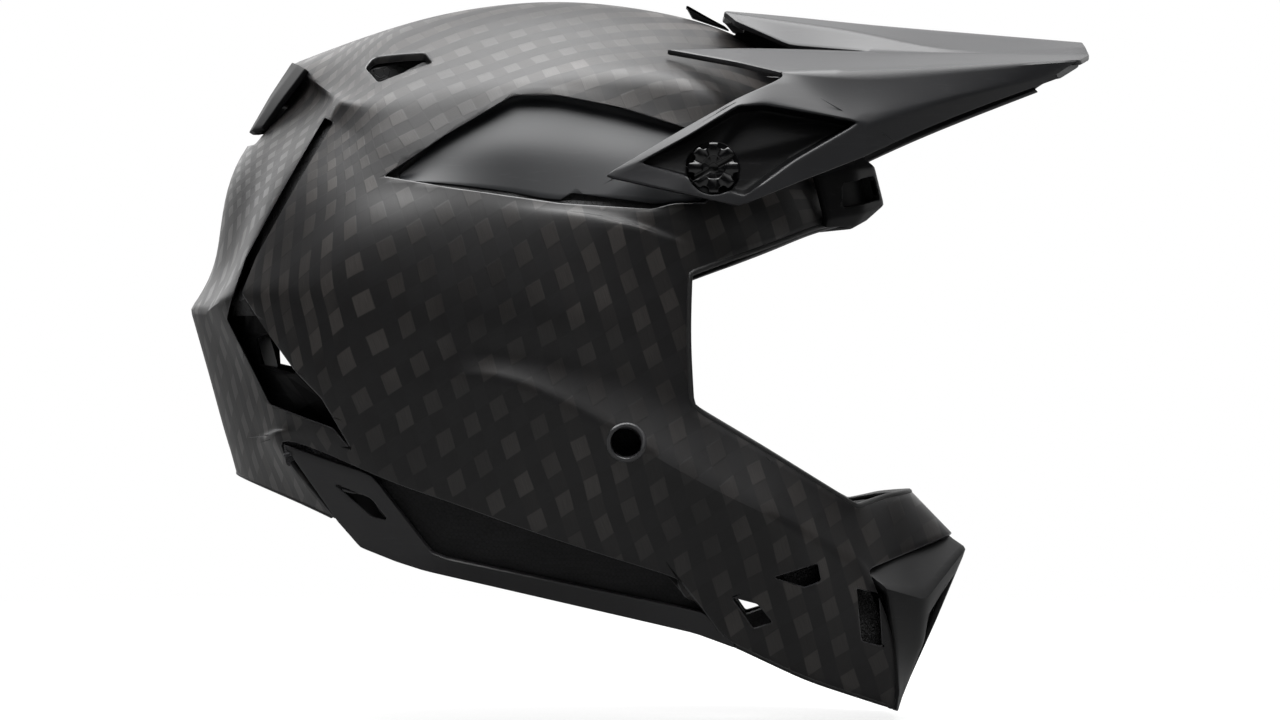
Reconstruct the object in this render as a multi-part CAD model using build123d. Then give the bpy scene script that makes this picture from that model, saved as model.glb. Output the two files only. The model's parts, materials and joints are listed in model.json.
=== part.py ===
import math
import os
from build123d import *

os.makedirs("parts", exist_ok=True)

# A full face helmet for downhill riding, in millimetres, in the attitude in which it is worn.
# The origin is the centre of the wearer's head: +X is forward, +Y the wearer's left, +Z up.
# Driving dimensions.
cavity_half_length = 100.0     # head cavity, from the head's centre to the brow
cavity_width_share = 0.83
cavity_height_share = 0.93
shell_wall = 3.0
shell_seat = 0.4               # gap between the shell and the foam that sits in it
slip_radius_share = 1.09       # the ball surface on which the inner liner turns in the outer one
slip_clearance = 0.5
comfort_thickness = 4.0
soft_clearance = 0.4           # between a soft pad and what carries it
panel_wall = 2.2
skirt_wall = 2.4
trim_wall = 2.6
mesh_wall = 1.2
visor_wall = 2.6
cheek_face_share = 0.935       # the flat inner face of the cheek foam, from the middle plane
cheek_foam_depth_share = 0.32
chin_foam_depth = 15.0
cheek_pad_thickness = 17.0
cheek_pad_draw_share = 0.07    # how far a pad's edge draws in towards each face
pivot_bore = 6.4               # for an M6 visor screw
pivot_boss_radius = 8.5
knob_radius = 10.9
knob_thickness = 7.5
knob_notch_radius = 1.7
knob_notches = 8
knob_hex_across = 4.0
screw_shank_radius = 3.0
screw_fit = 0.2                # running clearance round a screw's shank
nut_flange_radius = 7.4
nut_flange_thickness = 1.6
nut_barrel_radius = 4.6
nut_barrel_length = 9.0
washer_thickness = 1.0
side_port_radius = 6.6
strap_width = 22.0
strap_thickness = 1.8
rivet_head_radius = 6.5
rivet_head_height = 1.6
rivet_shank_radius = 2.5
ring_bar = 3.2                 # width of a flat ring's bars
ring_thickness = 2.2
ring_depth = 17.0
ring_side_play = 1.2           # between a ring's limb and the webbing's edge
ring_corner = 5.0
magnet_radius = 6.0
magnet_thickness = 2.5
snap_radius = 6.0
snap_height = 2.6
bumper_radius = 6.0
bumper_height = 2.4
bumper_stand = 0.3             # how far the bumpers stand into the slip gap
cut_overrun = 60.0             # how far a cutting tool runs past what it cuts
weld_tolerance = 0.001

cavity_half_width = cavity_width_share * cavity_half_length
cavity_half_height = cavity_height_share * cavity_half_length
slip_radius = slip_radius_share * cavity_half_length
cheek_face = cheek_face_share * cavity_half_length
cheek_foam_depth = cheek_foam_depth_share * cavity_half_length

# The outer surface of the shell's left half, as shares of the cavity's half length. Each row
# is a line from the back of the helmet to its front: the crest first, the base edge last. A
# row starts at the numbered column; column 0 is the middle of the back, column 11 the middle
# of the front.
shell_row_shares = [
    (2, [(-1.11, 0, 0.965), (-0.86, 0, 1.06), (-0.55, 0, 1.16), (-0.24, 0, 1.22), (0.07, 0, 1.24),
         (0.385, 0, 1.215), (0.695, 0, 1.15), (0.925, 0, 1.055), (1.115, 0, 0.9), (1.255, 0, 0.68)]),
    (2, [(-0.985, 0.36, 0.86), (-0.775, 0.44, 0.935), (-0.485, 0.49, 1), (-0.205, 0.52, 1.045),
         (0.08, 0.53, 1.065), (0.375, 0.52, 1.045), (0.655, 0.47, 0.995), (0.9, 0.37, 0.9),
         (1.095, 0.24, 0.76), (1.28, 0, 0.58)]),
    (2, [(-0.855, 0.7, 0.765), (-0.64, 0.78, 0.775), (-0.395, 0.83, 0.81), (-0.14, 0.86, 0.85),
         (0.13, 0.87, 0.875), (0.4, 0.85, 0.875), (0.665, 0.79, 0.835), (0.895, 0.66, 0.72),
         (1.11, 0.43, 0.585), (1.3, 0, 0.51)]),
    (0, [(-1.13, 0, 0.84), (-1.015, 0.36, 0.755), (-0.905, 0.69, 0.68), (-0.705, 0.88, 0.585),
         (-0.395, 0.96, 0.615), (-0.115, 0.94, 0.775), (0.15, 0.95, 0.77), (0.43, 0.93, 0.71),
         (0.685, 0.88, 0.625), (0.935, 0.74, 0.545), (1.14, 0.48, 0.47), (1.31, 0, 0.45)]),
    (0, [(-1.37, 0, 0.505), (-1.225, 0.42, 0.47), (-1.07, 0.79, 0.39), (-0.75, 0.98, 0.375),
         (-0.425, 1.07, 0.38), (-0.125, 1.13, 0.34), (0.15, 1.15, 0.3), (0.43, 1.13, 0.275),
         (0.675, 1.05, 0.31), (0.95, 0.86, 0.335), (1.175, 0.52, 0.355), (1.325, 0, 0.35)]),
    (0, [(-1.455, 0, 0.115), (-1.35, 0.4, 0.095), (-1.235, 0.78, 0.09), (-0.815, 1.06, 0.18),
         (-0.455, 1.14, 0.21), (-0.1, 1.18, 0.215), (0.25, 1.19, 0.225), (0.565, 1.12, 0.16),
         (0.835, 0.96, 0.095), (1.04, 0.76, 0.17), (1.22, 0.48, 0.24), (1.345, 0, 0.27)]),
    (0, [(-1.565, 0, -0.125), (-1.47, 0.38, -0.14), (-1.3, 0.8, -0.085), (-0.88, 1.09, -0.055),
         (-0.505, 1.18, -0.035), (-0.12, 1.22, -0.015), (0.26, 1.21, 0), (0.64, 1.09, 0.02)]),
    (0, [(-1.515, 0, -0.315), (-1.38, 0.46, -0.315), (-1.195, 0.86, -0.29), (-0.88, 1.09, -0.255),
         (-0.505, 1.19, -0.215), (-0.115, 1.23, -0.205), (0.265, 1.22, -0.225), (0.63, 1.1, -0.265)]),
    (0, [(-1.47, 0, -0.475), (-1.305, 0.52, -0.475), (-1.09, 0.91, -0.46), (-0.855, 1.09, -0.42),
         (-0.48, 1.18, -0.33), (-0.14, 1.23, -0.3), (0.265, 1.21, -0.375), (0.655, 1.1, -0.55),
         (1.02, 0.97, -0.775), (1.37, 0.57, -0.99), (1.51, 0.3, -0.955), (1.635, 0, -0.935)]),
    (0, [(-1.43, 0, -0.62), (-1.25, 0.56, -0.605), (-1.065, 0.9, -0.585), (-0.805, 1.08, -0.57),
         (-0.445, 1.18, -0.47), (-0.13, 1.24, -0.44), (0.285, 1.23, -0.635), (0.64, 1.13, -0.845),
         (1.045, 0.97, -1.05), (1.425, 0.57, -1.265), (1.625, 0.29, -1.19), (1.815, 0, -1.12)]),
    (0, [(-1.405, 0, -0.71), (-1.23, 0.56, -0.68), (-1.075, 0.88, -0.65), (-0.765, 1.07, -0.71),
         (-0.42, 1.14, -0.71), (-0.08, 1.18, -0.785), (0.32, 1.16, -0.93), (0.7, 1.06, -1.175),
         (1.095, 0.88, -1.395), (1.53, 0.5, -1.57)]),
    (0, [(-1.39, 0, -0.76), (-1.215, 0.56, -0.75), (-1.11, 0.84, -0.705), (-0.72, 1.04, -0.835),
         (-0.4, 1.1, -0.95), (0.025, 1.12, -1.1), (0.59, 1.06, -1.285), (0.795, 0.98, -1.545),
         (1.145, 0.78, -1.72), (1.54, 0.42, -1.87)]),
    (0, [(-1.365, 0, -0.85), (-1.11, 0.6, -0.94), (-0.875, 0.88, -1.035)]),
]
crest, mid_top, shoulder, rim, belt, ridge, port_top, port_mid, port_low, jaw, low_jaw, base, tail = range(13)
last_column = 11

# Outlines seen from the side, as shares of the same length: (forward, up).
rear_gap_shares = [(-0.94, 0.7), (-0.895, 0.675), (-1.225, 0.09), (-1.285, -0.065), (-1.16, -0.245),
                   (-1.045, -0.4), (-0.93, -0.515), (-0.8, -0.735), (-0.88, -0.64), (-1.17, -0.54),
                   (-1.36, -0.175), (-1.275, 0.085)]
panel_opening_shares = [(-0.67, 0.43), (-0.395, 0.615), (-0.115, 0.78), (0.075, 0.78), (0.34, 0.73),
                        (0.6, 0.65), (0.77, 0.595), (0.725, 0.32), (0.57, 0.315), (0.48, 0.29),
                        (0.09, 0.315), (-0.425, 0.39)]
chin_vent_shares = [
    [(1, -1.28), (1.19, -1.225), (1.205, -1.3), (1.135, -1.325)],
    [(0.82, -1.365), (0.93, -1.395), (0.995, -1.475), (0.915, -1.5)],
    [(1.365, -1.34), (1.465, -1.37), (1.48, -1.595), (1.39, -1.57)],
]
top_vent_shares = [(-0.765, 0.46), (-0.73, 0.42), (-0.515, 0.43), (-0.475, 0.47), (-0.69, 0.55)]
side_port_share = (0.37, -0.7)
see_through_shares = [(-1.4, -0.16), (-1.08, -0.16), (-0.96, -0.46), (-0.8, -0.74), (-1.4, -0.74)]
face_opening_shares = [(0.6, -0.12), (0.66, 0), (0.78, 0.05), (1.22, 0.22), (1.4, 0.27), (2.2, 0.27),
                       (2.2, -2.2), (0.6, -2.2)]


# Points are vectors; a name is a tuple, and the copy on the right side has "right" added.
def at(share):
    return Vector(*share) * cavity_half_length


def side_outline(shares):
    return [Vector(x, 0, z) * cavity_half_length for x, z in shares]


def row_points(rows):
    points = {}
    for level, (first, shares) in enumerate(rows):
        for step, share in enumerate(shares):
            points[(level, first + step)] = at(share)
    return points


def cell(level, column):
    return [(level, column), (level, column + 1), (level + 1, column + 1), (level + 1, column)]


def both_sides(points, faces):
    # The left half and its mirror image; points on the middle plane belong to both.
    def right(name):
        return name if points[name].Y < weld_tolerance else name + ("right",)

    whole = dict(points)
    for name, point in points.items():
        whole[right(name)] = Vector(point.X, -point.Y if right(name) != name else point.Y, point.Z)
    mirrored = [[right(name) for name in reversed(face)] for face in faces]
    return whole, [list(face) for face in faces] + mirrored


def corner_normals(points, faces):
    normals = {name: Vector(0, 0, 0) for name in points}
    for face in faces:
        corners = [points[name] for name in face]
        turn = (corners[2] - corners[0]).cross(corners[-1] - corners[1])
        for name in face:
            normals[name] = normals[name] + turn
    return {name: normal.normalized() for name, normal in normals.items() if normal.length > 0}


def triangles(points, face):
    if len(face) == 3:
        return [tuple(face)]
    a, b, c, d = face
    if (points[a] - points[c]).length <= (points[b] - points[d]).length:
        return [(a, b, c), (a, c, d)]
    return [(a, b, d), (b, c, d)]


def closed_solid(facets):
    return Solid(Shell([Face(Wire.make_polygon(corners, close=True)) for corners in facets]))


def open_edges(faces):
    edges = set()
    for face in faces:
        edges.update(zip(face, face[1:] + face[:1]))
    return [edge for edge in edges if (edge[1], edge[0]) not in edges]


def skin(outer, inner, faces, order=None):
    # A closed solid between two sets of points that share their names.
    facets = []
    for face in faces:
        for a, b, c in triangles(order or outer, face):
            facets.append([outer[a], outer[b], outer[c]])
            facets.append([inner[c], inner[b], inner[a]])
    for a, b in open_edges(faces):
        facets.append([outer[b], outer[a], inner[a]])
        facets.append([outer[b], inner[a], inner[b]])
    return closed_solid(facets)


def layer(points, normals, faces, depth_out, depth_in):
    # The part of a surface's thickness between two depths below it.
    used = {name for face in faces for name in face}
    outer = {name: points[name] - normals[name] * depth_out for name in used}
    inner = {name: points[name] - normals[name] * depth_in for name in used}
    return skin(outer, inner, faces, order={name: points[name] for name in used})


def plate(points, faces, wall):
    # A thin moulding with both halves, its wall inside its surface.
    whole, whole_faces = both_sides(points, faces)
    return layer(whole, corner_normals(whole, whole_faces), whole_faces, 0, wall)


def prism(corners, run):
    return Solid.extrude(Face(Wire.make_polygon(corners, close=True)), run)


def side_cutter(shares, start, end):
    # A prism across one side of the helmet, between two distances from the middle plane.
    corners = [point + Vector(0, start, 0) for point in side_outline(shares)]
    return prism(corners, Vector(0, end - start, 0))


def both(shape):
    return [shape, shape.mirror(Plane.XZ)]


def rod(centre, direction, radius, length):
    return Solid.make_cylinder(radius, length, Plane(origin=centre, z_dir=direction))


def grown(shares, margin):
    # An outline moved outwards by a length, all its corners alike.
    corners = side_outline(shares)
    middle = sum(corners, Vector(0, 0, 0)) * (1 / len(corners))
    moved = [corner + (corner - middle).normalized() * margin for corner in corners]
    return [(corner.X / cavity_half_length, corner.Z / cavity_half_length) for corner in moved]


def save(name, shape):
    export_step(shape, f"parts/{name}.step")


# The visor turns about one screw on each side. The shell keeps an ear there beside the panel.
pivot_share = (0.74, 0.465)
pivot_x, pivot_z = [share * cavity_half_length for share in pivot_share]
ear_margin = 2.5
ear_radius = pivot_boss_radius + ear_margin
across = Vector(0, 1, 0)


def on_pivot(y):
    return Vector(pivot_x, y, pivot_z)


# The shell: carbon fibre skin with its face opening, rear gaps, vents and screw holes.
shell_half = row_points(shell_row_shares)
shell_faces = [cell(level, column) for level in (crest, mid_top) for column in range(2, last_column)]
shell_faces.append([(rim, 0), (rim, 1), (mid_top, 2), (crest, 2)][::-1])
shell_faces.append([(rim, 1), (rim, 2), (shoulder, 2), (mid_top, 2)][::-1])
shell_faces += [cell(shoulder, column) for column in range(2, last_column)]
shell_faces += [cell(level, column) for level in (rim, belt) for column in range(last_column)]
shell_faces += [cell(ridge, column) for column in range(7)]
shell_faces.append([(ridge, 7), (ridge, 8), (port_top, 7)])
shell_faces += [cell(level, column) for level in (port_top, port_mid) for column in range(7)]
shell_faces += [cell(port_low, column) for column in range(last_column)]
shell_faces += [cell(level, column) for level in (jaw, low_jaw) for column in range(9)]
shell_faces += [cell(base, column) for column in range(2)]
shell_points, shell_surface = both_sides(shell_half, shell_faces)
shell_normals = corner_normals(shell_points, shell_surface)


def shell_part(cells, depth_out, depth_in, sides=2):
    # A layer under some cells of the shell's surface, on both sides or on the left alone.
    faces = [face for face in shell_faces if tuple(face[0]) in cells]
    if sides == 2:
        faces = both_sides(shell_half, faces)[1]
    return layer(shell_points, shell_normals, faces, depth_out, depth_in)


def clear_of(shape, *others):
    # What is left of a shape outside others; loose scraps are dropped.
    for other in others:
        shape = shape - other
    return max(shape.solids(), key=lambda solid: solid.volume)


shell = layer(shell_points, shell_normals, shell_surface, 0, shell_wall)
gap_start_share = 0.3
side_end_share = 2
gap_start = gap_start_share * cavity_half_length
side_end = side_end_share * cavity_half_length
for cutter in both(side_cutter(rear_gap_shares, gap_start, side_end)):
    shell -= cutter
panel_window = side_cutter(panel_opening_shares, gap_start, side_end)
panel_window -= rod(on_pivot(gap_start), across, ear_radius, side_end)
for cutter in both(panel_window):
    shell -= cutter
for shares in chin_vent_shares:
    for cutter in both(side_cutter(shares, gap_start, side_end)):
        shell -= cutter

# Air enters at the brow and leaves under the rear fin: openings cut through the front and back.
brow_intake_shares = [(0.07, 0.335), (0.32, 0.335), (0.28, 0.42), (0.07, 0.44)]
exhaust_shares = [(-0.17, 0.6), (0.17, 0.6), (0.2, 0.77), (-0.2, 0.77)]
front_start_share = 1.1
back_end_share = -1.0


def fore_cutter(shares, start, end):
    corners = [Vector(start, y * cavity_half_length, z * cavity_half_length) for y, z in shares]
    return prism(corners, Vector(end - start, 0, 0))


for cutter in both(fore_cutter(brow_intake_shares, front_start_share * cavity_half_length, side_end)):
    shell -= cutter
shell -= fore_cutter(exhaust_shares, -side_end, back_end_share * cavity_half_length)


def top_cutter(shares, margin=0):
    corners = [Vector(x, y, 0) * cavity_half_length for x, y in shares]
    middle = sum(corners, Vector(0, 0, 0)) * (1 / len(corners))
    corners = [corner + (corner - middle).normalized() * margin for corner in corners]
    return prism(corners, Vector(0, 0, side_end))


for cutter in both(top_cutter(top_vent_shares)):
    shell -= cutter

port_x, port_z = [share * cavity_half_length for share in side_port_share]
for cutter in both(rod(Vector(port_x, gap_start, port_z), across, side_port_radius, side_end)):
    shell -= cutter

# A boss through the shell's ear carries a threaded insert for the visor screw.
seat_face_share = 1.07
seat_face = seat_face_share * cavity_half_length     # the visor's seat under the knob, outside
seat_thickness = 3.6
pivot_play = 0.2
boss_face = seat_face - seat_thickness - pivot_play - washer_thickness
boss_root_share = 0.82
boss_root = boss_root_share * cavity_half_length
boss = rod(on_pivot(boss_root), across, pivot_boss_radius, boss_face - boss_root)
insert_bore = nut_barrel_radius + pivot_play
bore = rod(on_pivot(gap_start), across, insert_bore, side_end)
for one_boss, one_bore in zip(both(boss), both(bore)):
    shell = shell + one_boss - one_bore

# One more screw holds the visor's tongue to the crown.
top_screw_angle = 52
top_direction = Vector(math.cos(math.radians(top_screw_angle)), 0, math.sin(math.radians(top_screw_angle)))
shell -= rod(on_pivot(0), top_direction, screw_shank_radius + screw_fit, side_end)
save("outer_shell", shell)

washer = rod(on_pivot(boss_face), across, pivot_boss_radius, washer_thickness)
washer -= rod(on_pivot(boss_face - cut_overrun), across, pivot_bore / 2, 2 * cut_overrun)
save("visor_washers", Compound(both(washer)))

# Threaded inserts: a barrel in the boss and a flange against the inside of the shell.
flange_face = boss_root - pivot_play
barrel_end = boss_face - pivot_play
barrel = rod(on_pivot(flange_face), across, nut_barrel_radius, barrel_end - flange_face)
flange = rod(on_pivot(flange_face - nut_flange_thickness), across, nut_flange_radius, nut_flange_thickness)
thread = rod(on_pivot(gap_start), across, screw_shank_radius + screw_fit, side_end)
save("visor_screw_inserts", Compound(both(barrel + flange - thread)))

# The knob of a visor screw: a notched disc with a coin slot and a hexagonal socket.
knob_seat = seat_face + pivot_play
knob = rod(on_pivot(knob_seat), across, knob_radius, knob_thickness)
for turn in range(knob_notches):
    angle = 2 * math.pi * (turn + 0.5) / knob_notches
    reach = Vector(math.cos(angle), 0, math.sin(angle)) * knob_radius
    knob -= rod(on_pivot(knob_seat) + reach, across, knob_notch_radius, knob_thickness)
slot_width = 2.2
slot_depth = 1.8
slot_plane = Plane(origin=on_pivot(knob_seat + knob_thickness), z_dir=across)
knob -= slot_plane * Box(2 * knob_radius, slot_width, 2 * slot_depth)
knob -= slot_plane * extrude(RegularPolygon(knob_hex_across / 2, 6, major_radius=False), -2 * slot_depth)
shank_end = flange_face - nut_flange_thickness
shank = rod(on_pivot(shank_end), across, screw_shank_radius, knob_seat - shank_end)
left_screw = knob + shank
save("visor_screw_left", left_screw)
save("visor_screw_right", left_screw.mirror(Plane.XZ))

# Plain panels fill the side recesses. Each is sunk under the shell at its top edge and lies
# nearly level with the shell along its bottom edge.
panel_row_shares = [
    (0, [(-0.6, 0.925, 0.44), (-0.37, 0.86, 0.63), (-0.115, 0.835, 0.8), (0.105, 0.845, 0.8),
         (0.34, 0.845, 0.75), (0.61, 0.825, 0.67), (0.77, 0.785, 0.61)]),
    (0, [(-0.6, 0.955, 0.425), (-0.37, 0.98, 0.505), (-0.115, 1.02, 0.565), (0.11, 1.03, 0.55),
         (0.34, 1.02, 0.525), (0.565, 0.98, 0.48), (0.735, 0.92, 0.46)]),
    (0, [(-0.6, 0.985, 0.418), (-0.37, 1.04, 0.397), (-0.11, 1.09, 0.36), (0.085, 1.11, 0.33),
         (0.34, 1.105, 0.33), (0.48, 1.085, 0.315), (0.69, 1.01, 0.332)]),
]
panel_half = row_points(panel_row_shares)
panel_faces = [cell(level, column) for level in range(2) for column in range(6)]
panel_normals = corner_normals(panel_half, panel_faces)
panel = layer(panel_half, panel_normals, panel_faces, 0, panel_wall)
panel = clear_of(panel, shell, rod(on_pivot(gap_start), across, ear_radius + ear_margin, side_end))
save("side_panel_left", panel)
save("side_panel_right", panel.mirror(Plane.XZ))

# Brow insert: the moulded frame of the front air intake.
insert_half = {
    ("top", 0): (1.165, 0.5, 0.49), ("top", 1): (1.33, 0.27, 0.525), ("top", 2): (1.42, 0, 0.55),
    ("front", 0): (1.2, 0.51, 0.445), ("front", 1): (1.375, 0.28, 0.48), ("front", 2): (1.47, 0, 0.505),
    ("low", 0): (1.245, 0.5, 0.265), ("low", 1): (1.41, 0.28, 0.3), ("low", 2): (1.51, 0, 0.34),
    ("lip", 0): (1.24, 0.485, 0.225), ("lip", 1): (1.375, 0.27, 0.235), ("lip", 2): (1.43, 0, 0.265),
}


def strip_faces(rows, count):
    faces = []
    for upper, lower in zip(rows, rows[1:]):
        for step in range(count):
            faces.append([(upper, step + 1), (upper, step), (lower, step), (lower, step + 1)][::-1])
    return faces


def named_points(table):
    return {name: at(share) for name, share in table.items()}


insert_faces = strip_faces(["top", "front", "low", "lip"], 2)
insert = plate(named_points(insert_half), insert_faces, trim_wall)
insert_vent_shares = [(0.05, 0.36), (0.22, 0.34), (0.4, 0.315), (0.37, 0.42), (0.2, 0.45), (0.05, 0.465)]
insert_start_share = 1.15
for cutter in both(fore_cutter(insert_vent_shares, insert_start_share * cavity_half_length, side_end)):
    insert -= cutter
save("brow_insert", insert)

# Rear fin: a scoop over the exhaust at the back of the crown.
fin_half = {
    ("root", 0): (-1.045, 0.27, 0.93), ("root", 1): (-1.085, 0.14, 0.955), ("root", 2): (-1.118, 0, 0.972),
    ("mid", 0): (-1.145, 0.25, 0.8), ("mid", 1): (-1.19, 0.13, 0.82), ("mid", 2): (-1.215, 0, 0.825),
    ("tip", 0): (-1.24, 0.2, 0.672), ("tip", 1): (-1.29, 0.12, 0.665), ("tip", 2): (-1.31, 0, 0.66),
}
fin_faces = [face[::-1] for face in strip_faces(["root", "mid", "tip"], 2)]
fin = clear_of(plate(named_points(fin_half), fin_faces, trim_wall), shell)
save("rear_fin", fin)

# Chin vent trim: a faceted frame with a beak over the front air intake.
trim_half = {
    ("seam", 0): (1.437, 0.575, -1.27), ("seam", 1): (1.635, 0.29, -1.197), ("seam", 2): (1.822, 0, -1.126),
    ("beak", 0): (1.5, 0.575, -1.345), ("beak", 1): (1.68, 0.38, -1.395), ("beak", 2): (1.875, 0, -1.19),
    ("cheek", 0): (1.54, 0.505, -1.58), ("cheek", 1): (1.665, 0.3, -1.6), ("cheek", 2): (1.745, 0, -1.505),
    ("low", 0): (1.56, 0.44, -1.8), ("low", 1): (1.6, 0.23, -1.78), ("low", 2): (1.63, 0, -1.76),
    ("foot", 0): (1.55, 0.42, -1.88), ("foot", 1): (1.565, 0.2, -1.9), ("foot", 2): (1.57, 0, -1.905),
}
trim_rows = ["seam", "beak", "cheek", "low", "foot"]
chin_trim = plate(named_points(trim_half), strip_faces(trim_rows, 2), trim_wall)
chin_intake_shares = [(0.04, -1.3), (0.3, -1.47), (0.24, -1.64), (0.16, -1.74), (0.04, -1.74)]
trim_start_share = 1.5
for cutter in both(fore_cutter(chin_intake_shares, trim_start_share * cavity_half_length, side_end)):
    chin_trim -= cutter
chin_trim = clear_of(chin_trim, shell)
save("chin_vent_trim", chin_trim)

# Visor: a raised roof down the middle, a plane on each side that runs back into a prong, a
# side face, and a wing that carries the screw in a sunk pocket.
visor_half = {
    ("roof", 0): (0.81, 0, 1.2), ("roof", 1): (1.095, 0, 1.175), ("roof", 2): (1.44, 0, 1.14),
    ("roof", 3): (1.85, 0, 1.105), ("roof", 4): (2.395, 0, 1.06),
    ("roof_edge", 0): (0.8, 0.2, 1.185), ("roof_edge", 1): (1.085, 0.27, 1.135),
    ("roof_edge", 2): (1.43, 0.31, 1.08), ("roof_edge", 3): (1.83, 0.33, 1.01),
    ("roof_edge", 4): (2.395, 0.18, 1.03),
    ("roof_foot", 0): (0.85, 0.28, 1.14), ("roof_foot", 1): (1.085, 0.37, 1.03),
    ("valley", 0): (0.545, 0.64, 0.995), ("valley", 1): (0.845, 0.57, 1.005), ("valley", 2): (1.08, 0.5, 1.005),
    ("valley", 3): (1.425, 0.43, 0.998), ("valley", 4): (1.83, 0.38, 0.99), ("valley", 5): (2.4, 0.3, 0.99),
    ("edge", 1): (0.84, 0.75, 0.935), ("edge", 2): (1.025, 0.9, 0.88), ("edge", 3): (1.4, 0.96, 0.885),
    ("edge", 4): (1.8, 0.85, 0.91), ("edge", 5): (2.335, 0.62, 0.95),
    ("side", 2): (1.02, 0.99, 0.85), ("side", 3): (1.4, 1.06, 0.67), ("side", 4): (1.775, 0.92, 0.77),
    ("side", 5): (2.235, 0.66, 0.885),
    ("hem", 3): (1.385, 1.05, 0.515), ("hem", 4): (1.755, 0.9, 0.68), ("hem", 5): (2.245, 0.64, 0.868),
    ("wing", 0): (0.285, 1.165, 0.432), ("wing", 1): (0.56, 1.13, 0.605), ("wing", 2): (0.84, 1.085, 0.765),
    ("wing", 5): (1.115, 1.09, 0.41), ("wing", 6): (0.85, 1.13, 0.305), ("wing", 7): (0.565, 1.17, 0.365),
    ("rim", 0): (0.43, 1.152, 0.485), ("rim", 1): (0.64, 1.125, 0.605), ("rim", 2): (0.84, 1.088, 0.728),
    ("rim", 3): (0.965, 1.055, 0.735), ("rim", 4): (1.355, 1.063, 0.66), ("rim", 5): (1.09, 1.09, 0.5),
    ("rim", 6): (0.87, 1.126, 0.345), ("rim", 7): (0.64, 1.15, 0.42),
    ("floor", 0): (0.46, 1.11, 0.484), ("floor", 1): (0.645, 1.085, 0.585), ("floor", 2): (0.845, 1.05, 0.7),
    ("floor", 3): (0.955, 1.0, 0.71), ("floor", 4): (1.3, 0.995, 0.645), ("floor", 5): (1.06, 1.045, 0.51),
    ("floor", 6): (0.865, 1.085, 0.375), ("floor", 7): (0.65, 1.11, 0.435),
    ("hub", 0): (0.74, 1.072, 0.5),
}
visor_faces = [[("roof", n), ("roof", n + 1), ("roof_edge", n + 1), ("roof_edge", n)] for n in range(4)]
visor_faces.append([("roof_edge", 0), ("roof_edge", 1), ("roof_foot", 1), ("roof_foot", 0)])
visor_faces.append([("roof_edge", 1), ("roof_edge", 2), ("valley", 3), ("roof_foot", 1)])
visor_faces += [[("roof_edge", n), ("roof_edge", n + 1), ("valley", n + 2), ("valley", n + 1)] for n in (2, 3)]
visor_faces.append([("valley", 0), ("valley", 1), ("edge", 1)])
visor_faces += [[("valley", n), ("valley", n + 1), ("edge", n + 1), ("edge", n)] for n in range(1, 5)]
visor_faces += [[("edge", n), ("edge", n + 1), ("side", n + 1), ("side", n)] for n in range(2, 5)]
visor_faces += [[("side", n), ("side", n + 1), ("hem", n + 1), ("hem", n)] for n in (3, 4)]
wing_loop = [("wing", 0), ("wing", 1), ("wing", 2), ("side", 2), ("side", 3), ("wing", 5), ("wing", 6), ("wing", 7)]
for n in range(8):
    after = (n + 1) % 8
    if n != 4:
        visor_faces.append([wing_loop[n], wing_loop[after], ("rim", after), ("rim", n)])
    visor_faces.append([("rim", n), ("rim", after), ("floor", after), ("floor", n)])
    visor_faces.append([("floor", n), ("floor", after), ("hub", 0)])
visor_faces.append([("side", 3), ("hem", 3), ("rim", 4)])
visor_faces.append([("hem", 3), ("wing", 5), ("rim", 5), ("rim", 4)])
visor = plate(named_points(visor_half), visor_faces, visor_wall)

well_play = 0.6
seat_radius = knob_radius + well_play
seat = rod(on_pivot(seat_face - seat_thickness), across, seat_radius, seat_thickness)
well = rod(on_pivot(seat_face), across, seat_radius, side_end)
bore = rod(on_pivot(gap_start), across, pivot_bore / 2, side_end)
for one_seat, one_well, one_bore in zip(both(seat), both(well), both(bore)):
    visor = visor - one_well + one_seat - one_bore
save("visor", visor)

# The visor's tongue is an arc about the pivot line. It runs under the roof, over the crown,
# and its slot slides along the top screw while the visor tilts.
tongue_inner_share = 0.64
tongue_thickness = 2.5
tongue_half_width = 9.0
tongue_start_angle = 34
tongue_end_angle = 77
riser_angle = 4
riser_top_share = 0.7205
tongue_inner = tongue_inner_share * cavity_half_length
tongue_outer = tongue_inner + tongue_thickness


def sector(inner, outer, start, end, half_width):
    # A slice of a tube round the pivot line, between two angles above the forward direction.
    reach = 2 * outer
    middle = on_pivot(-half_width)
    rays = [Vector(math.cos(math.radians(a)), 0, math.sin(math.radians(a))) for a in (start, end)]
    wedge = prism([middle, middle + rays[0] * reach, middle + rays[1] * reach], across * (2 * half_width))
    ring = rod(middle, across, outer, 2 * half_width) - rod(middle, across, inner, 2 * half_width)
    return ring & wedge


tongue = sector(tongue_inner, tongue_outer, tongue_start_angle, tongue_end_angle, tongue_half_width)
riser_top = riser_top_share * cavity_half_length
tongue += sector(tongue_inner, riser_top, tongue_end_angle - riser_angle, tongue_end_angle, tongue_half_width)
top_bore = screw_shank_radius + 2 * screw_fit
slot_back_play = 3
slot_forward_play = 16
tongue -= sector(tongue_inner, tongue_outer, top_screw_angle - slot_back_play, top_screw_angle + slot_forward_play,
                 top_bore)
for angle in (top_screw_angle - slot_back_play, top_screw_angle + slot_forward_play):
    ray = Vector(math.cos(math.radians(angle)), 0, math.sin(math.radians(angle)))
    tongue -= rod(on_pivot(0) + ray * (tongue_inner - tongue_thickness), ray, top_bore, 3 * tongue_thickness)
tongue = clear_of(tongue, visor)
save("visor_tongue", tongue)

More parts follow.
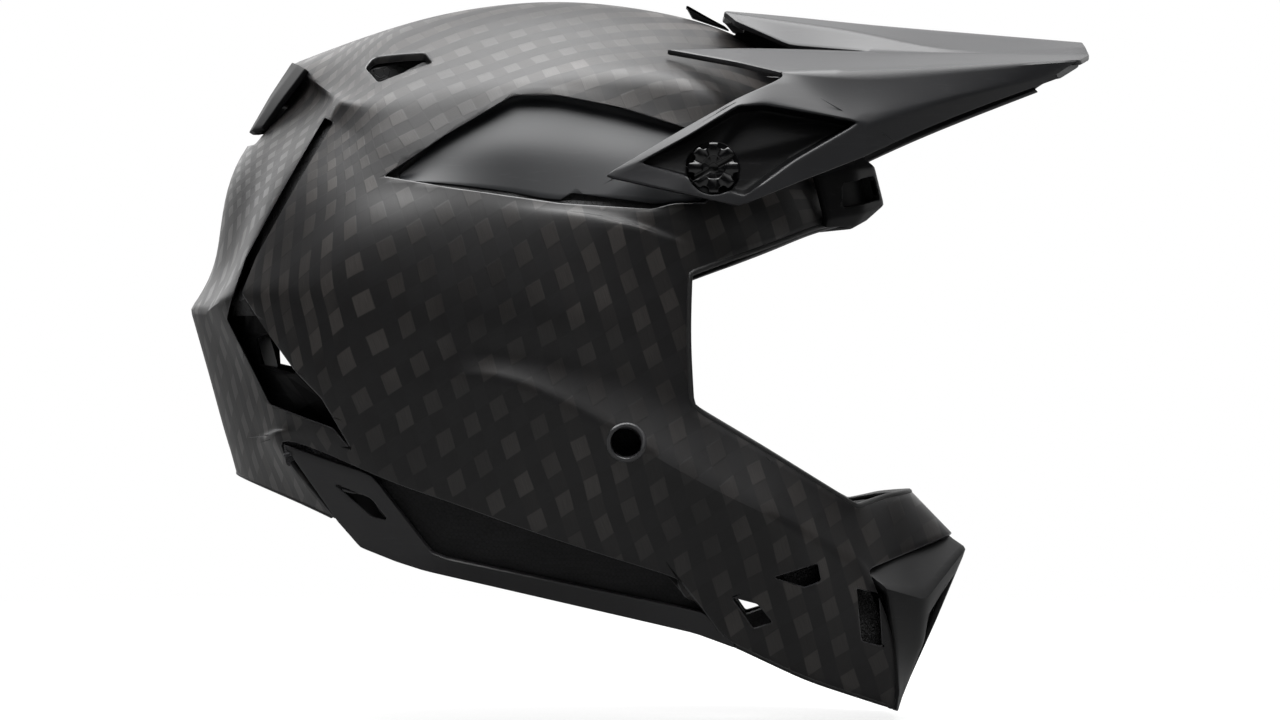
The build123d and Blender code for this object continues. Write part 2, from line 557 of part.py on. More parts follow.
# Visor guide: a fin on the crown, just behind the roof, that keeps the visor in the middle.
guide_shares = [(0.63, 1.222), (0.66, 1.168), (0.8, 1.12), (0.83, 1.1076), (0.805, 1.13)]
guide_half_width = 5.0
guide_corners = [point - across * guide_half_width for point in side_outline(guide_shares)]
guide = prism(guide_corners, across * (2 * guide_half_width))
save("visor_guide", guide)

# Top screw: its flat head bears on the tongue, and its nut sits under the shell.
head_radius = 5.2
head_thickness = 2.2
top_nut_radius = 4.2
top_nut_thickness = 4.0
top_nut_reach_share = 0.478
top_head_face = tongue_outer + screw_fit
top_nut_face = top_nut_reach_share * cavity_half_length
top_shank = rod(on_pivot(0) + top_direction * top_nut_face, top_direction, screw_shank_radius,
                top_head_face - top_nut_face)
top_head = rod(on_pivot(0) + top_direction * top_head_face, top_direction, head_radius, head_thickness)
socket = rod(on_pivot(0) + top_direction * (top_head_face + head_thickness / 2), top_direction,
             knob_hex_across / 2, head_thickness)
save("visor_top_screw", top_head + top_shank - socket)
top_nut = rod(on_pivot(0) + top_direction * top_nut_face, top_direction, top_nut_radius, top_nut_thickness)
top_nut -= rod(on_pivot(0), top_direction, screw_shank_radius + screw_fit, top_head_face)
save("visor_top_nut", top_nut)

# Lower skirt: the plastic edge below the carbon shell, with a vent at its back on each side.
skirt_half = {
    ("top", 0): (-1.105, 0.845, -0.715), ("top", 1): (-0.72, 1.035, -0.845), ("top", 2): (-0.465, 1.02, -1.17),
    ("top", 3): (-0.36, 1.03, -1.21), ("top", 4): (0.685, 1.01, -1.425), ("top", 5): (0.79, 0.985, -1.555),
    ("low", 0): (-0.87, 0.885, -1.045), ("low", 1): (-0.77, 0.905, -1.155), ("low", 2): (-0.62, 0.93, -1.215),
    ("low", 3): (-0.47, 0.96, -1.26), ("low", 4): (0.64, 0.985, -1.515), ("low", 5): (0.785, 0.98, -1.565),
}
skirt_points = named_points(skirt_half)
skirt_faces = [[("top", n), ("top", n + 1), ("low", n + 1), ("low", n)] for n in range(5)]
skirt_vent_shares = [(-0.88, -0.88), (-0.72, -0.94), (-0.645, -1.035), (-0.715, -1.02)]
skirt = layer(skirt_points, corner_normals(skirt_points, skirt_faces), skirt_faces, 0, skirt_wall)
skirt = clear_of(skirt, side_cutter(skirt_vent_shares, gap_start, side_end), shell, shell.mirror(Plane.XZ))
save("skirt_left", skirt)
save("skirt_right", skirt.mirror(Plane.XZ))

# Fabric that closes the gap between the shell's edge and the skirt.
fabric_sink = 4.0
fabric_wall = 1.6
fabric_half = {
    ("up", 0): (-0.72, 1.035, -0.845), ("up", 1): (-0.4, 1.1, -0.95), ("up", 2): (0.025, 1.12, -1.1),
    ("up", 3): (0.59, 1.06, -1.285), ("up", 4): (0.78, 0.99, -1.53),
    ("down", 0): (-0.62, 1.03, -0.99), ("down", 1): (-0.36, 1.035, -1.2), ("down", 2): (0.025, 1.035, -1.28),
    ("down", 3): (0.5, 1.02, -1.385), ("down", 4): (0.69, 1.01, -1.43),
}
fabric_points = named_points(fabric_half)
fabric_faces = [[("up", n), ("up", n + 1), ("down", n + 1), ("down", n)] for n in range(4)]
fabric_normals = corner_normals(fabric_points, fabric_faces)
fabric = layer(fabric_points, fabric_normals, fabric_faces, fabric_sink, fabric_sink + fabric_wall)
save("skirt_fabric_left", fabric)
save("skirt_fabric_right", fabric.mirror(Plane.XZ))

# Outer liner: foam between the shell and the slip ball, open at the face, at the back gap and
# under the top vents.
foam_out = shell_wall + shell_seat
core_radius_share = 0.98
core_radius = core_radius_share * cavity_half_length


def foam_core(cells):
    faces = both_sides(shell_half, [face for face in shell_faces if tuple(face[0]) in cells])[1]
    used = {name for face in faces for name in face}
    outer = {name: shell_points[name] - shell_normals[name] * foam_out for name in used}
    inner = {name: outer[name].normalized() * core_radius for name in used}
    return skin(outer, inner, faces, order={name: shell_points[name] for name in used})


liner_cells = {(level, column) for level in (crest, mid_top, shoulder, rim, belt) for column in range(12)}
liner_cells |= {(level, column) for level in (ridge, port_top, port_mid) for column in range(7)}
liner_cells |= {(rim, 1), (rim, 2), (ridge, 7), (mid_top, 2), (crest, 2)}
liner_floor_share = -0.2
foam_gap = 0.5
liner_floor = liner_floor_share * cavity_half_length


def slab(low, high):
    # Everything between two heights, as wide as the helmet.
    height = high - low
    return Pos(0, 0, low + height / 2) * Box(4 * side_end, 4 * side_end, height)


slip_ball = Solid.make_sphere(slip_radius)
face_opening = side_cutter(face_opening_shares, -side_end, side_end)
see_through = side_cutter(see_through_shares, -side_end, side_end)
liner = foam_core(liner_cells)
liner = liner - slip_ball - face_opening - see_through - slab(-side_end, liner_floor)
panel_room_height = 15.0
panel_room = layer(panel_half, panel_normals, panel_faces, -panel_room_height, panel_wall + shell_seat)
for cutter in both(panel_room) + both(panel):
    liner -= cutter
vent_margin = 1.5
for cutter in both(top_cutter(top_vent_shares, vent_margin)):
    liner -= cutter
for cutter in both(rod(on_pivot(shank_end - vent_margin), across, nut_flange_radius + vent_margin, side_end)):
    liner -= cutter
top_room = rod(on_pivot(0) + top_direction * (top_nut_face - vent_margin), top_direction,
               top_nut_radius + vent_margin, 3 * top_nut_thickness)
liner -= top_room
for cutter in both(fore_cutter(brow_intake_shares, front_start_share * cavity_half_length / 2, side_end)):
    liner -= cutter

# Inner liner: a foam ball that turns in the outer liner, hollowed for the head.
def cavity(inset):
    halves = (cavity_half_length, cavity_half_width, cavity_half_height)
    return scale(Solid.make_sphere(cavity_half_length), by=tuple((half - inset) / cavity_half_length for half in halves))


inner_floor_shares = [(-1.3, -0.42), (-0.66, -0.42), (-0.38, -0.1), (1.4, -0.1), (1.4, -1.4), (-1.3, -1.4)]
inner_face_shares = [(0.585, -0.2), (0.585, 0.01), (0.75, 0.065), (1.22, 0.235), (1.4, 0.28), (1.4, -0.2)]
groove_half_width = 5.0
groove_places_share = [0.18, 0.46]
ball = Solid.make_sphere(slip_radius - slip_clearance) - cavity(0)
ball = ball - side_cutter(inner_floor_shares, -side_end, side_end)
ball = ball - side_cutter(inner_face_shares, -side_end, side_end)
# Air grooves run from brow to back along the inside of the foam.
groove_depth = 4.0
for share in groove_places_share:
    channel = cavity(-groove_depth) & (Pos(0, share * cavity_half_length, side_end / 2)
                                       * Box(2 * side_end, 2 * groove_half_width, side_end))
    for cutter in both(channel):
        ball -= cutter
for cutter in both(top_cutter(top_vent_shares, vent_margin)):
    ball -= cutter
save("inner_liner", ball)

# Slip bumpers: soft plugs in the outer liner that the ball glides on.
bumper_aim_shares = [(0.55, 0.45, 0.7), (-0.6, 0.4, 0.69), (0.05, 0.9, 0.43)]
bumpers = []
for share in bumper_aim_shares:
    aim = Vector(*share).normalized()
    bumpers += both(rod(aim * (slip_radius - bumper_stand), aim, bumper_radius, bumper_height))
for bumper in bumpers:
    liner -= bumper
save("outer_liner", liner)
save("slip_bumpers", Compound(bumpers))

# Comfort liner and brow pad: padding a little inside the foam's cavity.
pad_out = soft_clearance
pad_in = soft_clearance + comfort_thickness
padding = cavity(pad_out) - cavity(pad_in)
padding -= side_cutter(inner_face_shares, -side_end, side_end)
comfort_floor_share = 0.1
comfort_front_share = 0.74
comfort_vents_share = [(0.1, 0.32), (-0.52, -0.3)]
comfort_vent_half_width = 22.0
comfort = padding - slab(-side_end, comfort_floor_share * cavity_half_length)
comfort -= Pos(comfort_front_share * cavity_half_length + side_end / 2, 0, 0) * Box(side_end, side_end, side_end)
for start, end in comfort_vents_share:
    length = (end - start) * cavity_half_length
    middle = (end + start) / 2 * cavity_half_length
    for cutter in both(Pos(middle, comfort_vent_half_width + groove_half_width, side_end / 2)
                       * Box(length, 2 * comfort_vent_half_width, side_end)):
        comfort -= cutter
save("comfort_liner", comfort)
brow_low_share = -0.02
brow_high_share = 0.34
brow_start_share = 0.755
brow = padding & Pos((brow_start_share + 1) / 2 * cavity_half_length, 0,
                     (brow_low_share + brow_high_share) / 2 * cavity_half_length) * Box(
    (1 - brow_start_share) * cavity_half_length, side_end,
    (brow_high_share - brow_low_share) * cavity_half_length)
save("brow_pad", brow)

# Cheek foam on each side, with a flat inner face that holds magnets for the cheek pad.
cheek_cells = {(level, column) for level in (port_mid, port_low, jaw, low_jaw) for column in (4, 5, 6)}
cheek_foam = shell_part(cheek_cells, foam_out, foam_out + cheek_foam_depth, sides=1)
cheek_top = liner_floor - foam_gap
cheek_foam -= slab(cheek_top, side_end)
cheek_foam -= Pos(0, cheek_face - side_end / 2, 0) * Box(4 * side_end, side_end, 4 * side_end)
magnet_places_share = [(-0.2, -0.42), (0.42, -0.52), (0.12, -0.9)]
magnet = [rod(Vector(x * cavity_half_length, cheek_face, z * cavity_half_length), across,
              magnet_radius, magnet_thickness) for x, z in magnet_places_share]
for one in magnet:
    cheek_foam -= one
port_room = rod(Vector(port_x, gap_start, port_z), across, side_port_radius, side_end)
cheek_foam -= port_room
fabric_room_height = 15.0
fabric_room = layer(fabric_points, fabric_normals, fabric_faces, -fabric_room_height,
                    fabric_sink + fabric_wall + soft_clearance)
cheek_foam = clear_of(cheek_foam, fabric_room, fabric, slip_ball)
save("cheek_foam_left", cheek_foam)
save("cheek_foam_right", cheek_foam.mirror(Plane.XZ))
save("cheek_magnets", Compound([side for one in magnet for side in both(one)]))

# Cheek pads: crowned cushions on the magnets. They pull straight down off the foam.
cheek_pad_shares = [(-0.3, -0.3), (0.12, -0.25), (0.5, -0.36), (0.56, -0.62), (0.46, -0.98), (0.12, -1.1),
                    (-0.26, -0.86)]
cheek_pad_corner = 9.0
pad_back = cheek_face - soft_clearance
pad_levels_share = [(0, 2), (0.5, 0), (1, 3)]


def cushion_outline(shares, y, draw):
    # A rounded outline at one distance from the middle plane, drawn in towards its middle.
    corners = grown(shares, -draw * cheek_pad_draw_share * cavity_half_length)
    flat = Polyline(*[(x * cavity_half_length, z * cavity_half_length) for x, z in corners], close=True)
    face = fillet(make_face(flat).vertices(), cheek_pad_corner)
    return (Plane(origin=(0, y, 0), x_dir=(1, 0, 0), z_dir=(0, -1, 0)) * face).wires()[0]


sections = [cushion_outline(cheek_pad_shares, pad_back - depth * cheek_pad_thickness, draw / 2)
            for depth, draw in pad_levels_share]
cheek_pad = Solid.make_loft(sections)
save("cheek_pad_left", cheek_pad)
save("cheek_pad_right", cheek_pad.mirror(Plane.XZ))

# Pull tabs hang from the bottom of the cheek pads.
tab_width = 16.0
tab_length = 20.0
tab_thickness = 1.6
tab_place_share = (0.12, -1.088)
tab_y = pad_back - cheek_pad_thickness / 2
tab_top = tab_place_share[1] * cavity_half_length - soft_clearance
tab = Pos(tab_place_share[0] * cavity_half_length, tab_y, tab_top - tab_length / 2) * Box(
    tab_width, tab_thickness, tab_length)
save("release_tab_left", tab)
save("release_tab_right", tab.mirror(Plane.XZ))

# Chin foam inside the chin bar, its comfort pad, and mesh behind the vents.
chin_cells = {(port_low, column) for column in (7, 8, 9, 10)} | {(level, column) for level in (jaw, low_jaw)
                                                                for column in (7, 8)}
chin_foam = shell_part(chin_cells, foam_out + mesh_wall + soft_clearance, foam_out + chin_foam_depth)
for cutter in both(side_cutter(grown(chin_vent_shares[1], vent_margin), gap_start, side_end)):
    chin_foam -= cutter
seam_shares = [(0.6, -0.2), (0.64, -0.265), (0.665, -0.55), (0.65, -0.845), (0.71, -1.175), (0.805, -1.545),
               (0.6, -1.6)]
chin_foam = clear_of(chin_foam, *both(side_cutter(seam_shares, gap_start, side_end)))
save("chin_foam", chin_foam)
mesh_cells = {(level, 8) for level in (jaw, low_jaw)} | {(jaw, 7)}
side_mesh = shell_part(mesh_cells, foam_out, foam_out + mesh_wall, sides=1)
side_mesh -= side_cutter(grown(chin_vent_shares[1], vent_margin), gap_start, side_end)
save("chin_side_mesh", Compound(both(side_mesh)))
mesh_sink = trim_wall + soft_clearance
trim_faces = strip_faces(trim_rows, 2)
trim_points, trim_surface = both_sides(named_points(trim_half), trim_faces)
trim_normals = corner_normals(trim_points, trim_surface)
mesh_faces = [face for face in trim_surface if not any(name[0] == "seam" for name in face)]
front_mesh = layer(trim_points, trim_normals, mesh_faces, mesh_sink, mesh_sink + mesh_wall)
front_mesh_width = 76.0
front_mesh &= Box(2 * side_end, front_mesh_width, 4 * side_end)
save("chin_front_mesh", front_mesh)

# Neck roll: padding inside the lower back of the shell.
neck_cells = {(level, column) for level in (low_jaw, base) for column in (0, 1)}
neck_depth = 13.0
neck_roll = shell_part(neck_cells, shell_wall + soft_clearance, shell_wall + soft_clearance + neck_depth)
save("neck_roll", neck_roll)

# Chin straps: flat webbing from anchors inside the shell, behind the cheek pads, down and in
# under the chin. The left strap is the long one; the right one ends in the rings' loop.
left_strap_shares = [(-0.66, 1.035, -0.36), (-0.66, 1.015, -0.62), (-0.63, 0.93, -0.88), (-0.52, 0.76, -1.07),
                     (-0.3, 0.58, -1.16), (-0.02, 0.4, -1.2), (0.2, 0.2, -1.22), (0.25, 0.05, -1.22)]
right_strap_shares = left_strap_shares[:5] + [
    (-0.02, 0.46, -1.19), (0.16, 0.38, -1.21), (0.16, 0.3, -1.215), (0.16, 0.268, -1.203), (0.16, 0.26, -1.175),
    (0.16, 0.268, -1.147), (0.16, 0.3, -1.135), (0.16, 0.38, -1.13)]
rivet_drop_share = 0.13


def webbing(shares, half_width, thickness):
    # A flat strap whose width lies fore and aft and whose centre line follows the points.
    points = {}
    for step, share in enumerate(shares):
        centre = at(share)
        points[(0, step)] = centre + Vector(half_width, 0, 0)
        points[(1, step)] = centre - Vector(half_width, 0, 0)
    faces = [cell(0, step) for step in range(len(shares) - 1)]
    return layer(points, corner_normals(points, faces), faces, -thickness / 2, thickness / 2)


strap_half = strap_width / 2
rivet_x, rivet_y, rivet_z = at(left_strap_shares[0]) - Vector(0, 0, rivet_drop_share * cavity_half_length)
rivet_bore = rod(Vector(rivet_x, gap_start, rivet_z), across, rivet_shank_radius + screw_fit, side_end)
left_strap = webbing(left_strap_shares, strap_half, strap_thickness) - rivet_bore
right_strap = webbing(right_strap_shares, strap_half, strap_thickness) - rivet_bore
save("chin_strap_left", left_strap)
save("chin_strap_right", right_strap.mirror(Plane.XZ))

# Strap pads: soft sleeves above the webbing where it passes the throat.
sleeve_margin = 4.0
sleeve_half = strap_half + sleeve_margin
sleeve_thickness = 3.0
sleeve_play = 1.4
sleeve_drop = Vector(0, 0, strap_thickness / 2 + sleeve_play + sleeve_thickness / 2)


def sleeve(shares):
    lifted = [at(share) + sleeve_drop for share in shares]
    return webbing([tuple(point * (1 / cavity_half_length)) for point in lifted], sleeve_half, sleeve_thickness)


save("strap_pad_left", sleeve(left_strap_shares[4:7]))
save("strap_pad_right", sleeve(right_strap_shares[4:6]).mirror(Plane.XZ))

# Strap anchors: rivets from inside through the webbing into the shell.
rivet_face = rivet_y - strap_thickness - 2 * soft_clearance
rivet_reach_share = 1.085
rivet = rod(Vector(rivet_x, rivet_face - rivet_head_height, rivet_z), across, rivet_head_radius, rivet_head_height)
rivet += rod(Vector(rivet_x, rivet_face, rivet_z), across, rivet_shank_radius,
             rivet_reach_share * cavity_half_length - rivet_face)
save("strap_anchors", Compound(both(rivet)))

# Two flat rings hang in the loop at the right strap's end.
ring_inner_width = strap_width + 2 * ring_side_play
ring_inner_depth = ring_depth - ring_bar
loop_share = (0.16, -0.3, -1.175)
loop_middle = at(loop_share)
ring_gap = 0.4


def flat_ring(shift):
    outline = RectangleRounded(ring_inner_width + 2 * ring_bar, ring_inner_depth + 2 * ring_bar, ring_corner)
    outline -= RectangleRounded(ring_inner_width, ring_inner_depth, ring_corner - ring_bar)
    middle = loop_middle + across * shift - Vector(0, 0, (ring_inner_depth + ring_bar) / 2)
    return Plane(origin=middle, x_dir=(1, 0, 0), z_dir=across) * extrude(outline, ring_thickness / 2, both=True)


ring_shift = (ring_thickness + ring_gap) / 2
save("strap_rings", Compound([flat_ring(-ring_shift), flat_ring(ring_shift)]))

# A snap keeps the left strap's free end tidy.
snap_end = at(left_strap_shares[-1])
snap_inset = 2.0
snap_foot = snap_end + Vector(-snap_inset / 2, snap_radius + snap_inset, strap_thickness / 2 + weld_tolerance)
snap = rod(snap_foot, Vector(0, 0, 1), snap_radius, snap_height)
save("strap_snap", snap)

# Edge trims: soft beads round the face opening and along the lower edge of the shell.
bead_out = 1.8
bead_skin = 0.9
bead_gap = 0.25


def bead(names, inward):
    # A four-sided bead just beyond the shell's edge, through the points named along it.
    rings = []
    for name in names:
        surface = shell_points[name] + shell_normals[name] * bead_skin
        inside = shell_points[name] - shell_normals[name] * (shell_wall + bead_skin)
        step = inward(shell_points[name])
        rings.append([surface + step * bead_gap, surface + step * bead_out,
                      inside + step * bead_out, inside + step * bead_gap])
    closed = names[0] == names[-1]
    facets = []
    for here, there in zip(rings, rings[1:]):
        for n in range(4):
            after = (n + 1) % 4
            facets.append([here[n], there[n], there[after]])
            facets.append([here[n], there[after], here[after]])
    if not closed:
        for ring in (rings[0], rings[-1]):
            facets.append([ring[0], ring[1], ring[2]])
            facets.append([ring[0], ring[2], ring[3]])
    return closed_solid(facets)


port_left = [(ridge, 11), (ridge, 10), (ridge, 9), (ridge, 8), (port_top, 7), (port_mid, 7), (port_low, 7),
             (port_low, 8), (port_low, 9), (port_low, 10), (port_low, 11)]
port_right = [name + ("right",) for name in port_left[1:-1]][::-1]
port_loop = port_left + port_right + port_left[:1]
port_middle_share = (0.95, 0, -0.3)


def towards_port(point):
    # The direction from the shell's edge into the face opening, seen from the side or the front.
    middle = at(port_middle_share)
    return Vector(middle.X - point.X if abs(point.Y) > gap_start * 2 else 0, 0, middle.Z - point.Z).normalized()


save("eye_port_trim", clear_of(bead(port_loop, towards_port), insert))
chin_edge = [(base, 9), (base, 8), (base, 7)]


def downwards(point):
    return Vector(0, 0, -1)


hem_bead = clear_of(bead(chin_edge, downwards), front_mesh, chin_trim, skirt)
save("chin_edge_trim", Compound(both(hem_bead)))
tail_left = [(tail, 2), (tail, 1), (tail, 0)]
tail_right = [name + ("right",) for name in tail_left[:-1]][::-1]
save("neck_edge_trim", clear_of(bead(tail_left + tail_right, downwards), *both(skirt)))
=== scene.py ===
import json
import math
import bmesh
import bpy
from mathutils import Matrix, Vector, noise
from mathutils.bvhtree import BVHTree

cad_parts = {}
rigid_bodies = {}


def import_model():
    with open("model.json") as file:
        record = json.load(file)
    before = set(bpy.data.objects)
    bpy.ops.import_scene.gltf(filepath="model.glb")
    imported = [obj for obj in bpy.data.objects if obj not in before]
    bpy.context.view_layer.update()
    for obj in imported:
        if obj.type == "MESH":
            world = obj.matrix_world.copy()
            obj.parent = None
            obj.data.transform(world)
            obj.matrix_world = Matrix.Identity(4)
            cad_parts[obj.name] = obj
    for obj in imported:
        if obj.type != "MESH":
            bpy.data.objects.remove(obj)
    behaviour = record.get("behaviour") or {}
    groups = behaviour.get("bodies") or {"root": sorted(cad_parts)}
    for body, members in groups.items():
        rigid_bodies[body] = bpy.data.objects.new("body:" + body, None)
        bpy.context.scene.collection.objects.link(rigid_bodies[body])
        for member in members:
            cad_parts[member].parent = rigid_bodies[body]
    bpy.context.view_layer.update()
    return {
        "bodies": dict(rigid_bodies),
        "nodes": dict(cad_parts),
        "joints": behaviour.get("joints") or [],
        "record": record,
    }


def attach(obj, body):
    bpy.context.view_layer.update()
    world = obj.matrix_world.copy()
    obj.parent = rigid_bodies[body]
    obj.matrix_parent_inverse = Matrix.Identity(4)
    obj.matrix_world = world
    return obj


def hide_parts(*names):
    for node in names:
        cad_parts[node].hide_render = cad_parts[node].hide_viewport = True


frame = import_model()
headUnit = 0.1          # the outlines below are shares of the head cavity's half length
print("frame loaded:", len(frame["nodes"]), "nodes")


def toObject(name, data):
    made = bpy.data.objects.new(name, data)
    bpy.context.collection.objects.link(made)
    return made


def fromLists(name, points, faces):
    mesh = bpy.data.meshes.new(name)
    mesh.from_pydata([tuple(p) for p in points], [], faces)
    mesh.validate()
    return toObject(name, mesh)


# ---- shader wiring
def feed(tree, socket, value):
    if isinstance(value, Signal):
        tree.links.new(value.socket, socket)
    else:
        socket.default_value = value


def addNode(tree, kind, inputs=None, **settings):
    made = tree.nodes.new("ShaderNode" + kind)
    for key, value in settings.items():
        setattr(made, key, value)
    for key, value in (inputs or {}).items():
        feed(tree, made.inputs[key], value)
    return made


def signals(tree, kind):
    return {socket.name: Signal(tree, socket) for socket in tree.nodes.new(kind).outputs}


class Signal:
    # what a shader socket gives, with the steps that the looks are built from
    def __init__(self, tree, socket):
        self.tree, self.socket = tree, socket

    def into(self, kind, inputs, output=0, **settings):
        return Signal(self.tree, addNode(self.tree, kind, inputs, **settings).outputs[output])

    def math(self, operation, *others):
        return self.into("Math", dict(enumerate((self, *others))), operation=operation)

    def __add__(self, other):
        return self.math("ADD", other)

    def __sub__(self, other):
        return self.math("SUBTRACT", other)

    def __rsub__(self, other):
        return self.into("Math", {0: other, 1: self}, operation="SUBTRACT")

    def __mul__(self, other):
        return self.math("MULTIPLY", other)

    def larger(self, other):
        return self.math("MAXIMUM", other)

    def smooth(self, low, high, outLow=0.0, outHigh=1.0):
        levels = {"Value": self, "From Min": low, "From Max": high, "To Min": outLow, "To Max": outHigh}
        return self.into("MapRange", levels, "Result", interpolation_type="SMOOTHSTEP")

    def mix(self, first, second):
        return self.into("Mix", {"Factor": self, "A": first, "B": second}, "Result")

    def mixColor(self, first, second):
        return self.into("Mix", {0: self, 6: first, 7: second}, 2, data_type="RGBA")

    def vector(self, operation, other):
        return self.into("VectorMath", {0: self, 1: other}, operation=operation)

    def scaled(self, factor):
        return self.into("VectorMath", {0: self, "Scale": factor}, operation="SCALE")

    def axes(self):
        return [Signal(self.tree, socket) for socket in addNode(self.tree, "SeparateXYZ", {0: self}).outputs]

    def noise(self, scale, detail=3.0, rough=0.55, output="Fac"):
        inputs = {"Vector": self, "Scale": scale, "Detail": detail, "Roughness": rough}
        return self.into("TexNoise", inputs, output)


def newMaterial(name, inputs):
    material = bpy.data.materials.new(name)
    material.use_nodes = True
    shader = material.node_tree.nodes["Principled BSDF"]
    for key, value in inputs.items():
        shader.inputs[key].default_value = value
    return material, material.node_tree, shader


# ---- camera, floor and light
view = {"distance": 2.5, "aimX": 0.0428, "aimZ": -0.0351, "lens": 158.2, "sensor": 36, "farthest": 60}
studio = {"floorZ": -0.1935, "floorSize": 9.0, "floorColor": 0.22, "floorGlow": 0.86, "fadeFrom": 0.35, "fadeTo": 1.3,
          "worldFill": 0.07, "lowGlow": 0.035, "topGlow": 1.4, "backGlow": 1.0}
lamps = {
    "topSoftbox": {"place": (0.0, -0.05, 1.7), "aim": (0.03, 0, 0), "size": 2.5, "power": 92.0},
    "backRim": {"place": (-0.9, 1.5, 0.9), "aim": (0, 0, 0), "size": 1.2, "power": 7.0},
    "sideFill": {"place": (0.7, -1.9, 0.9), "aim": (0.05, 0, -0.05), "size": 1.4, "power": 0.7},
}


def addCamera():
    data = bpy.data.cameras.new("photoCamera")
    data.lens = view["lens"]
    data.sensor_width = view["sensor"]
    data.clip_end = view["farthest"]
    camera = toObject("photoCamera", data)
    camera.location = (view["aimX"], -view["distance"], view["aimZ"])
    camera.rotation_euler = (math.radians(90), 0, 0)
    bpy.context.scene.camera = camera


def addLamps():
    for name, lamp in lamps.items():
        data = bpy.data.lights.new(name, "AREA")
        data.shape = "DISK"
        data.size = lamp["size"]
        data.energy = lamp["power"]
        made = toObject(name, data)
        made.location = lamp["place"]
        made.rotation_euler = (Vector(lamp["aim"]) - Vector(lamp["place"])).to_track_quat("-Z", "Y").to_euler()


def addWorld():
    world = bpy.data.worlds.new("studio")
    bpy.context.scene.world = world
    world.use_nodes = True
    tree = world.node_tree
    ray = signals(tree, "ShaderNodeLightPath")
    seen = ray["Is Camera Ray"].larger(ray["Is Transmission Ray"])
    # a reflection sees the white room behind and above, and darkness in front
    _, away, up = signals(tree, "ShaderNodeTexCoord")["Generated"].axes()
    above = up.smooth(0.3, 0.95, studio["lowGlow"], studio["topGlow"])
    behind = away.smooth(0.45, 0.95, studio["lowGlow"], studio["backGlow"])
    room = ray["Is Glossy Ray"].mix(studio["worldFill"], above.larger(behind))
    background = tree.nodes["Background"]
    background.inputs["Color"].default_value = (1, 1, 1, 1)
    feed(tree, background.inputs["Strength"], seen.mix(room, 1.0))


def addFloor():
    half, level, glow = (studio[key] for key in ("floorSize", "floorColor", "floorGlow"))
    corners = [(x * half, y * half, studio["floorZ"]) for x, y in ((-1, -1), (1, -1), (1, 1), (-1, 1))]
    floor = fromLists("floor", corners, [(0, 1, 2, 3)])
    material, tree, shader = newMaterial("paleFloor", {
        "Roughness": 0.6, "Specular IOR Level": 0.2, "Base Color": (level, level, level, 1),
        "Emission Color": (glow, glow, glow, 1)})
    ray = signals(tree, "ShaderNodeLightPath")["Is Camera Ray"]
    place = signals(tree, "ShaderNodeTexCoord")["Object"]
    reach = place.into("VectorMath", {0: place}, "Value", operation="LENGTH")
    # the camera sees the floor fade into the white room
    fade = reach.smooth(studio["fadeFrom"], studio["fadeTo"]) * ray
    feed(tree, shader.inputs["Emission Strength"], ray)
    white = addNode(tree, "Emission")
    blend = addNode(tree, "MixShader", {0: fade})
    tree.links.new(shader.outputs[0], blend.inputs[1])
    tree.links.new(white.outputs[0], blend.inputs[2])
    tree.links.new(blend.outputs[0], tree.nodes["Material Output"].inputs["Surface"])
    floor.data.materials.append(material)


bpy.context.scene.view_settings.view_transform = "Standard"
bpy.context.scene.view_settings.look = "None"
addCamera()
addWorld()
addFloor()
addLamps()
print("stage ready")


# ---- looks: each gives a color, a roughness and a height
weave = {"along": (-0.012, -0.0076), "across": (0.0049, -0.0164), "edge": 0.05, "wander": 0.006, "drift": 0.09,
         "crownWrap": 0.85, "crownHalf": 0.115, "crownFrom": 0.02, "crownTo": 0.075,
         "backWrap": 0.9, "backHalf": 0.106, "backFrom": -0.06, "backTo": -0.095,
         # where each band starts and is full, and its levels there
         "frontBand": (-0.012, 0.03, 0.06, 0.32), "backBand": (0.085, 0.105, 0.0, 0.55),
         "crownBand": (0.045, 0.075, 0.05, 0.75)}


